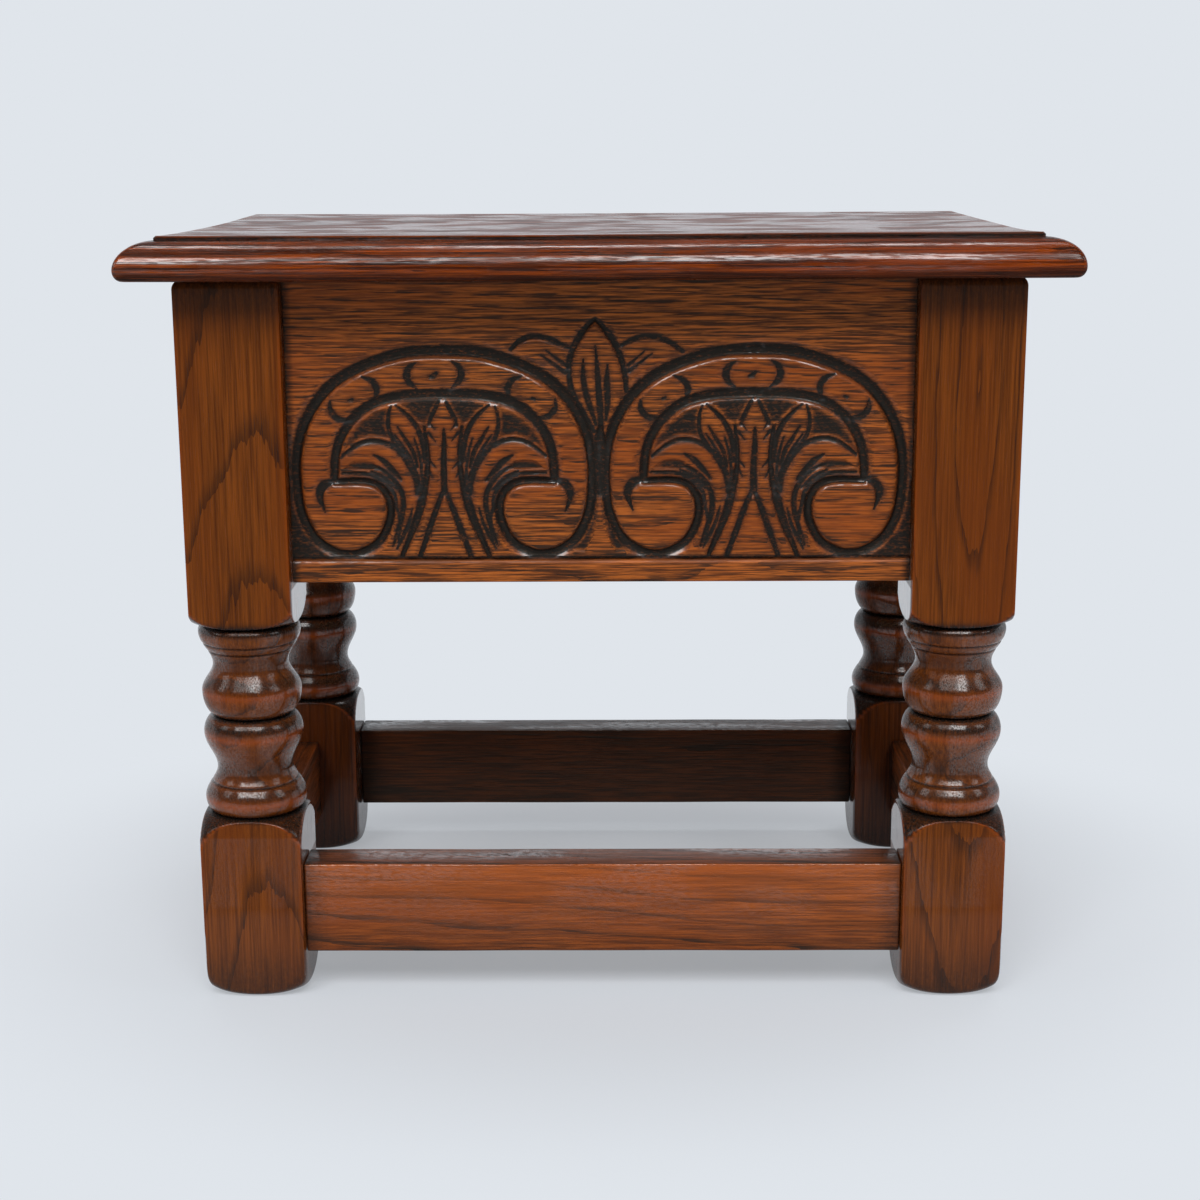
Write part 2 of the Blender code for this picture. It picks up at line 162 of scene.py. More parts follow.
def handOver(piece, body, slot, finish, *nodes):
    deselect()
    piece.data.materials.clear()
    piece.data.materials.append(finish)
    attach(piece, body)
    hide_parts(*nodes)


def arc(middle, half, start, stop, steps):
    spread = np.radians(np.linspace(start, stop, steps + 1))
    return [(middle[0] + half[0] * math.cos(a), middle[1] + half[1] * math.sin(a)) for a in spread]


def sway(start, stop, steps):  # runs between two upright tangents, ends left out
    line = []
    for i in range(1, steps):
        blend = (1 - math.cos(math.pi * i / steps)) / 2
        line.append((start[0] + (stop[0] - start[0]) * blend, start[1] + (stop[1] - start[1]) * i / steps))
    return line


def softMin(a, b, reach):
    near = np.clip(reach - np.abs(a - b), 0, None) / reach
    return np.minimum(a, b) - near * near * reach / 4


def ease(value, low, high):
    t = np.clip((value - low) / (high - low), 0, 1)
    return t * t * (3 - 2 * t)


def hump(value, middle, reach):  # 1 at the middle, fading out to both sides
    return np.exp(-((value - middle) / reach) ** 2)


# Shader maths

class Wire:  # one output socket: sums on it add Math nodes
    def __init__(self, tree, socket):
        self.tree, self.socket = tree, socket

    def node(self, kind, settings=None, inputs=None, out=0):
        item = self.tree.nodes.new(kind)
        for key, value in (settings or {}).items():
            setattr(item, key, value)
        for key, value in (inputs or {}).items():
            if isinstance(value, Wire):
                self.tree.links.new(value.socket, item.inputs[key])
            else:
                item.inputs[key].default_value = value
        return Wire(self.tree, item.outputs[out])

    def out(self, number):  # another output of the same node
        return Wire(self.tree, self.socket.node.outputs[number])

    def math(self, operation, a, b=0.0):
        return self.node("ShaderNodeMath", {"operation": operation}, {0: a, 1: b})

    def __add__(self, other):
        return self.math("ADD", self, other)

    def __sub__(self, other):
        return self.math("SUBTRACT", self, other)

    def __rsub__(self, other):
        return self.math("SUBTRACT", other, self)

    def __mul__(self, other):
        return self.math("MULTIPLY", self, other)

    def __truediv__(self, other):
        return self.math("DIVIDE", self, other)

    __radd__, __rmul__ = __add__, __mul__

    def root(self):
        return self.math("SQRT", self)

    def span(self, low, high):  # eased from 0 at low to 1 at high
        return self.node("ShaderNodeMapRange", {"interpolation_type": "SMOOTHSTEP"}, {0: self, 1: low, 2: high})

    def tint(self, low, high):  # mixes two colours by this value
        return self.node("ShaderNodeMix", {"data_type": "RGBA"}, {0: self, 6: low, 7: high}, out=2)

    def vector(self, operation, other=(0, 0, 0), out=0):
        return self.node("ShaderNodeVectorMath", {"operation": operation}, {0: self, 1: other}, out)

    def noise(self, stretch, detail=2.0, roughness=0.5):
        place = self.vector("MULTIPLY", stretch)
        return self.node("ShaderNodeTexNoise", {"noise_dimensions": "3D"},
                         {"Vector": place, "Scale": 1.0, "Detail": detail, "Roughness": roughness})

    def field(self, name):  # a number that setField put on the vertices
        return self.node("ShaderNodeAttribute", {"attribute_name": name}, out=2)

    def bump(self, strength, distance):
        return self.node("ShaderNodeBump", {}, {"Strength": strength, "Distance": distance, "Height": self})

    def feed(self, target):
        self.tree.links.new(self.socket, target)


def srgb(red, green, blue):
    def line(level):
        level /= 255
        return level / 12.92 if level <= 0.04045 else ((level + 0.055) / 1.055) ** 2.4
    return (line(red), line(green), line(blue), 1.0)


def newFinish(name):
    finish = bpy.data.materials.new(name)
    finish.use_nodes = True
    shader = finish.node_tree.nodes["Principled BSDF"]
    coords = finish.node_tree.nodes.new("ShaderNodeTexCoord")
    return finish, shader, Wire(finish.node_tree, coords.outputs["Object"])


# Oak: growth rings round a pith line, fibre streaks and open pores, then stain and painted shade, wear and painted
# light

grainTurn = {"x": (0, 0, 0), "y": (0, 0, -math.pi / 2), "z": (0, math.pi / 2, 0)}

oakBase = {
    "run": "x",                         # which way the grain runs
    "shift": (0, 0, 0),                 # mm, moves the fibre pattern
    "pith": (0, 0), "lean": (0, 0),     # mm from the piece's axes, and its drift along the grain
    "ringGap": 3.6, "waver": 12.0,      # mm
    "ringEdge": 0.6, "ringDepth": 0.4,  # share of a ring that is dark and porous, and how dark
    "fibre": (0.03, 1.0, 1.0), "streaks": (0.4, 0.58),
    "dash": (0.055, 1.0, 1.0), "dashCut": (0.45, 0.56), "dashDepth": 0.94,  # dark broken streaks
    "dark": srgb(72, 36, 15), "light": srgb(173, 93, 34), "warm": srgb(144, 68, 18),
    "line": srgb(52, 28, 14), "pore": srgb(34, 24, 18),
    "bright": srgb(168, 84, 28), "black": srgb(19, 17, 15),
    "rough": 0.38, "cloud": 0.0, "bump": 0.5, "bumpDepth": 0.0003, "grit": 0.3,
    "gloss": 0.2, "glint": (1.0, 0.88, 0.75, 1.0),
    "coat": 1.7, "coatRough": 0.14, "speck": (0.3, 1.0, 1.0),  # thick varnish and the holes in it
    "endMix": 0.75, "wearAndLightMix": 0.7,     # how far end grain, and wear with painted light, hide the streaks
}


def oak(name, **look):
    look = {**oakBase, **look}
    finish, shader, place = newFinish(name)
    stain_and_shade, wear_and_light, ends, shine, calm = (place.field(key) for key in ("stain_and_shade", "wear_and_light", "ends", "shine", "calm"))
    grain = place.node("ShaderNodeMapping", {}, {
        "Vector": place, "Rotation": grainTurn[look["run"]], "Scale": (1000, 1000, 1000)})  # now in mm
    along = grain.node("ShaderNodeSeparateXYZ", {}, {0: grain})
    field = grain.vector("ADD", look["shift"])
    if look.get("boards"):  # each glued board has its own grain
        start, width = look["boards"]
        board = along.math("FLOOR", (along.out(1) - start) / width)
        jump = board.node("ShaderNodeCombineXYZ", {}, {0: board * 371.0, 1: board * 53.0, 2: board * 97.0})
        field = field.vector("ADD", jump)
    across = (along.out(1) - look["pith"][0] + along * look["lean"][0]
              + (field.noise((0.006, 0.02, 0.02)) - 0.5) * look["waver"])
    deep = (along.out(2) - look["pith"][1] + along * look["lean"][1]
            + (field.noise((0.005, 0.025, 0.021)) - 0.5) * look["waver"])
    ring = (across * across + deep * deep).root() / look["ringGap"]
    ring = ring + (field.noise((0.03, 0.3, 0.3)) - 0.5) * 0.3
    early = 1 - ring.math("FRACT", ring).span(0.0, look["ringEdge"])
    fibre = field.noise(look["fibre"], 4.0, 0.62)
    dash = field.noise(look["dash"], 3.0, 0.55).span(*look["dashCut"]) * (early * 0.6 + 0.4)
    pores = field.noise((0.08, 2.0, 2.0), 2.0).span(0.54, 0.66)
    tone = field.noise((0.006, 0.03, 0.03), 1.0)
    grit = field.noise((0.5, 1.1, 1.1), 3.0, 0.6)
    colour = fibre.span(*look["streaks"]).tint(look["dark"], look["light"])
    colour = (tone.span(0.4, 0.66) * 0.7).tint(colour, look["warm"])
    colour = (early * (pores * 0.4 + 0.6) * look["ringDepth"]).tint(colour, look["line"])
    colour = (dash * look["dashDepth"]).tint(colour, look["pore"])
    colour = (ends * look["endMix"]).tint(colour, look["warm"])
    # lighter where worn, and where light is painted on
    colour = (wear_and_light * look["wearAndLightMix"]).tint(colour, look["bright"])
    # darker towards near-black where stain and painted shade are laid on
    colour = (stain_and_shade * (grit * 1.5 + 0.3)).tint(colour, look["black"])  # the mix stops at 1
    colour.feed(shader.inputs["Base Color"])
    cloud = field.noise((0.03, 0.05, 0.05), 2.0).span(0.42, 0.6) * look["cloud"]
    rough = pores * 0.12 + dash * 0.1 + stain_and_shade * 0.06 + fibre * 0.08 + cloud + (look["rough"] - 0.06)
    rough.feed(shader.inputs["Roughness"])
    speck = field.noise(look["speck"], 3.0, 0.6).span(0.42, 0.55) * 0.88 + 0.12  # varnish, broken by the pores
    speck = speck * (field.noise((0.014, 0.06, 0.06), 1.0).span(0.41, 0.57) * 0.82 + 0.18)
    calm.math("MAXIMUM", shine * speck, calm.span(0.75, 1.0)).feed(shader.inputs["Coat Weight"])
    height = (fibre * 0.35 - dash * 0.4 - pores * 0.55 + grit * look["grit"]) * (1 - calm)  # calm is polished flat
    height.bump(look["bump"], look["bumpDepth"]).feed(shader.inputs["Normal"])
    for socket, key in (("Coat Roughness", "coatRough"), ("Coat IOR", "coat"), ("Specular IOR Level", "gloss"),
                        ("Specular Tint", "glint")):
        shader.inputs[socket].default_value = look[key]
    return finish


# Lid

lidSet = {  # mm, then shares
    "noseRise": 4.8, "undercut": 3.5, "ovoloRun": 15.0, "ovoloTop": 17.0, "fillet": 0.4, "arris": 0.9,
    "dish": 0.7, "waves": 0.12, "wander": 0.3, "cell": 5.0, "cornerRound": 2.0,
    "mitreReach": 5.7, "crease": 38,
    "sag": 2.4, "sagFrom": -128.0, "sagRun": 60.0,  # the top has sunk towards the hinges
    "quirkShade": 0.6, "underShade": 0.5, "topShade": 0.2, "edgeWear": 0.5,
    "shine": 0.85, "endDull": 0.5, "endCalm": 0.7, "topCalm": 0.815,
}


def makeLid():
    s = lidSet
    low, high = (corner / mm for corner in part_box("lid"))
    halfX, halfY, thick = high.x, high.y, high.z - low.z
    run, top, nose, under = s["ovoloRun"], s["ovoloTop"], s["noseRise"], s["undercut"]
    field = run + s["fillet"]
    inset = field + s["arris"]
    line = [(field, thick - s["arris"]), (field, top + 0.15), (run, top)]
    line += arc((run, nose), (run, top - nose), 90, 180, 16)[1:]
    line += arc((under, nose), (under, nose), 180, 270, 8)[1:]
    deselect()
    bpy.ops.mesh.primitive_grid_add(
        size=1, x_subdivisions=round(2 * halfX / s["cell"]), y_subdivisions=round(2 * halfY / s["cell"]))
    lid = named("lid_board")
    place = points(lid) * (2 * (halfX - inset), 2 * (halfY - inset), 0) + (0, 0, high.z)
    rng = np.random.default_rng(4)
    across, deep = place[:, 0] / halfX, place[:, 1] / halfY
    hollow = s["dish"] * (1 - across ** 2).clip(0) * (1 - deep ** 2).clip(0)
    for _ in range(4):  # the boards have moved a little
        a, b, c = rng.uniform(1.5, 5.0), rng.uniform(2.0, 7.0), rng.uniform(0, 6)
        wave = 1 + np.sin(a * across + b * deep + c)
        hollow = hollow + s["waves"] * wave * (1 - across ** 8) * (1 - deep ** 8)
    place[:, 2] -= hollow
    setPoints(lid, place * mm)
    editMode(lid, "EDGE")
    choose(lid, "EDGE", lambda edge: edge.is_boundary)
    past = (inset, thick)
    for step in line:  # the moulding is drawn down from the top, edge by edge
        bpy.ops.mesh.extrude_region_move(TRANSFORM_OT_translate={"value": (0, 0, (step[1] - past[1]) * mm)})
        wider = [(half - step[0]) / (half - past[0]) for half in (halfX, halfY)]
        bpy.ops.transform.resize(value=(*wider, 1))
        past = step
    bpy.ops.mesh.edge_face_add()
    faceOut()

    def atMitre(vert):
        gapX, gapY = halfX - abs(vert.co.x) / mm, halfY - abs(vert.co.y) / mm
        return max(gapX, gapY) < inset + s["mitreReach"] and abs(gapX - gapY) < 0.05
    editMode(lid, "EDGE")
    choose(lid, "EDGE", lambda edge: abs(edge.verts[0].co.z - edge.verts[1].co.z) > 0.02 * mm
           and all(atMitre(vert) for vert in edge.verts))
    bpy.ops.mesh.bevel(offset=s["cornerRound"] * mm, segments=3, affect="EDGES")
    bpy.ops.object.mode_set(mode="OBJECT")
    smooth(lid, s["crease"])
    x, y, z = points(lid).T / mm
    rise = z - low.z
    rim = np.maximum(np.abs(x) - halfX, np.abs(y) - halfY)  # 0 at the nose, less inside
    moulded = rise < top
    # painted shade: dark in the quirk under the top's edge and under the nose, and the top darkened against the
    # light from above
    quirk = ease(rise, top - 1.0, top - 0.1) * (1 - ease(rise, thick - 0.8, thick - 0.2)) * (rim > -field - 0.5)
    stain_and_shade = s["quirkShade"] * quirk + s["underShade"] * (1 - ease(rise, 0.2, 5.0))
    setField(lid, "stain_and_shade", stain_and_shade + s["topShade"] * (rise > thick - 2.5))
    ends = ease(halfY - np.abs(y) - halfX + np.abs(x), 0, 2) * (rim > -field) * moulded
    setField(lid, "ends", ends)
    setField(lid, "shine", (s["shine"] - s["endDull"] * ends) * moulded * ease(rise, 2.0, 6.0))
    setField(lid, "calm", np.maximum(s["endCalm"] * ends, s["topCalm"] * ease(rise, thick - 2, thick - 1.2)))
    setField(lid, "wear_and_light", s["edgeWear"] * hump(rise, thick, 0.8) * hump(rim, -inset, 2.0))
    wander = np.sin(x / 31 + 1) * np.sin(x / 47 + y / 38)  # worked by hand
    z = z + s["wander"] * wander * ease(rise, 5.0, 9.0) * (1 - ease(rise, 13.0, top))
    sag = s["sag"] * (1 - np.exp(-np.clip(y - s["sagFrom"], 0, None) / s["sagRun"]))
    setPoints(lid, np.stack([x, y, z - sag * rise / thick], 1) * mm)
    return lid


# Legs

legSet = {  # mm: heights and radii of the turned line, from the foot up
    "half": 24.0, "top": 341.5, "arris": 2.4, "crown": 4.5, "turnEase": 0.8, "sides": 120, "crease": 42,
    "corner": 35.0, "footFlat": 17.5, "footRise": 16.5, "footEase": 4.0, "footTop": 30.0,
    "squareLow": 67.0, "neckLow": 89.0,
    "ringLow": 95.5, "waistLow": 110.5, "ballLow": 127.5, "veeZ": 136.3, "ballHigh": 148.0,
    "waistHigh": 161.0, "ringHigh": 176.7, "neckHigh": 181.0, "squareHigh": 195.0,
    "neck": 20.3, "ring": 24.0, "waist": 17.8, "ball": 23.4, "vee": 17.4,
    "cutLines": (103.3, 167.8, 171.6), "cutDeep": 0.6, "cutWide": 0.5,  # scored by the point of a chisel
    # height, reach and depth of the dark bands: stain left in the hollows, and painted shade on the upper halves of
    # the rings and balls
    "darkBands": ((89.0, 1.6, 1.0), (99.8, 2.8, 0.6), (103.3, 0.7, 0.8), (110.5, 5.0, 0.55), (136.3, 1.7, 1.0),
                (132.2, 3.2, 0.75), (153.0, 3.6, 0.65), (161.0, 5.0, 0.45), (167.8, 0.6, 0.7), (171.6, 0.6, 0.7),
                (181.0, 2.6, 1.0), (178.4, 1.6, 0.8)),
    "lowStain": 0.78, "highShade": 0.5, "footDarken": 0.55, "footShade": (34.0, 2.0),
    "lidShadeDepth": 0.6, "lidShade": 26.0, "bandWearAndLight": 0.7, "rimWear": 0.8, "edgeWear": 0.4,
    "turnedShine": 0.9, "rimShine": 0.4, "shoulderShine": 0.5,
    "blockShine": 0.35, "shineFrom": 45.0, "shineTo": 80.0, "blockCalm": 0.82, "calmFade": (40.0, 76.0),
    "rubLow": 62.0, "rubHigh": 200.0,  # hands and slippers rub the blocks between these heights
}


def legLine():
    s = legSet
    neck, ring, ball, vee, corner = (s[key] for key in ("neck", "ring", "ball", "vee", "corner"))
    waists = [(s["waist"], s["waistLow"]), (s["waist"], s["waistHigh"])]
    line = [(0, 0)]
    line += arc((s["footFlat"], s["footRise"]), (corner - s["footFlat"], s["footRise"]), -90, 0, 20)
    line += [(corner, z) for z in np.linspace(s["footRise"] + 3, s["squareLow"] - 3, 14)]
    line += arc((neck, s["squareLow"]), (corner - neck, s["neckLow"] - s["squareLow"]), 0, 90, 30)
    line += arc((neck, s["ringLow"]), (ring - neck, s["ringLow"] - s["neckLow"]), -90, 0, 12)[1:]
    line += sway((ring, s["ringLow"]), waists[0], 38) + waists[:1]
    line += sway(waists[0], (ball, s["ballLow"]), 24)
    line += arc((vee, s["ballLow"]), (ball - vee, s["veeZ"] - s["ballLow"]), 0, 90, 18)
    line += arc((vee, s["ballHigh"]), (ball - vee, s["ballHigh"] - s["veeZ"]), -90, 0, 18)[1:]
    line += sway((ball, s["ballHigh"]), waists[1], 24) + waists[1:]
    line += sway(waists[1], (ring, s["ringHigh"]), 40)
    line += arc((neck, s["ringHigh"]), (ring - neck, s["neckHigh"] - s["ringHigh"]), 0, 90, 12)
    line += arc((neck, s["squareHigh"]), (corner - neck, s["squareHigh"] - s["neckHigh"]), -90, 0, 30)[1:]
    line += [(corner, z) for z in np.linspace(s["squareHigh"] + 4, s["top"] - s["crown"] - 4, 26)]
    line += [(corner, s["top"] - s["crown"] * (1 - math.sin(a))) for a in np.linspace(0, math.pi / 2, 9)]
    line = np.array(line + [(0, s["top"])])
    for height in s["cutLines"]:
        line[:, 0] -= s["cutDeep"] * hump(line[:, 1], height, s["cutWide"])
    return line


def makeLeg():  # turned all over, then brought back to the square blank at the blocks
    s = legSet
    leg = spun("leg_pattern", legLine(), s["sides"])
    x, y, z = points(leg).T / mm
    turned, turn = np.hypot(x, y), np.arctan2(y, x)
    over = np.clip((z - s["top"] + s["crown"]) / s["crown"], 0, 1)
    drawn = s["crown"] * (1 - np.sqrt(1 - over ** 2))
    blank = np.full(len(z), 1e3)
    for side in range(4):  # +x, +y, -x, -y; the last two face outwards
        facing = np.cos(turn - side * math.pi / 2)
        reach = s["half"] - (drawn if side > 1 else 0)
        blank = softMin(blank, reach / np.maximum(facing, 1e-3), s["arris"])
    block, foot = (z < s["neckLow"]) | (z > s["neckHigh"]), z < s["footTop"]
    soft = np.where(foot, s["footEase"], s["turnEase"])  # the feet are worn
    reach = np.where(block, softMin(turned, blank, soft), turned)
    reach = np.where(turned < 1e-6, 0, reach)
    x, y = reach * np.cos(turn), reach * np.sin(turn)
    setPoints(leg, np.stack([x, y, z], 1) * mm)
    smooth(leg, s["crease"])
    shoulder = ease(blank - turned, -0.2, 0.8) * block * (z > s["footTop"])  # the turned ends of the blocks
    # stain on the lower block's turned top, painted shade under the upper block
    stain_and_shade = shoulder * np.where(z < s["veeZ"], s["lowStain"], s["highShade"])
    # darker towards the floor
    stain_and_shade = np.maximum(stain_and_shade, s["footDarken"] * ease(z, *s["footShade"]))
    for height, width, amount in s["darkBands"]:
        stain_and_shade = np.maximum(stain_and_shade, amount * hump(z, height, width))
    # painted shade at the top of the legs, under the lid's overhang
    setField(leg, "stain_and_shade", np.maximum(stain_and_shade, s["lidShadeDepth"] * ease(z, s["top"] - s["lidShade"], s["top"])))
    # lighter bands round the widest turnings: wear, and painted light for the lit band below the highlight
    bands = sum(hump(z, s[key], 1.8) for key in ("ballLow", "ballHigh", "ringLow"))
    rim = hump(turned, blank, 0.5) * block * (z > s["footTop"])
    edge = ease(np.minimum(np.abs(x), np.abs(y)), s["half"] - 2.5, s["half"] - 0.5) * block * (z > s["footTop"])
    setField(leg, "wear_and_light", s["bandWearAndLight"] * bands + s["rimWear"] * rim + s["edgeWear"] * edge)
    low, high = s["neckLow"], s["neckHigh"]
    shine = s["turnedShine"] * ease(z, low - 1, low + 5) * (1 - ease(z, high - 2, high + 3)) + s["rimShine"] * rim
    shine = shine + s["blockShine"] * (z < s["shineTo"]) * (z > s["shineFrom"])
    setField(leg, "shine", shine + s["shoulderShine"] * shoulder)
    return leg


def polishInside(leg, middle):  # the faces that look inwards
    s = legSet
    x, _, z = points(leg).T / mm
    facing = np.abs(x) < abs(middle) - s["half"] + 0.3
    inside = facing * ((z > s["neckHigh"]) * (z < s["rubHigh"]) + (z < s["neckLow"]) * (z > s["rubLow"]))
    setField(leg, "calm", np.maximum(inside, s["blockCalm"] * (1 - ease(z, *s["calmFade"]))))


# Carving on the front board, in mm from a lunette's middle and up from the bead; the left half is drawn

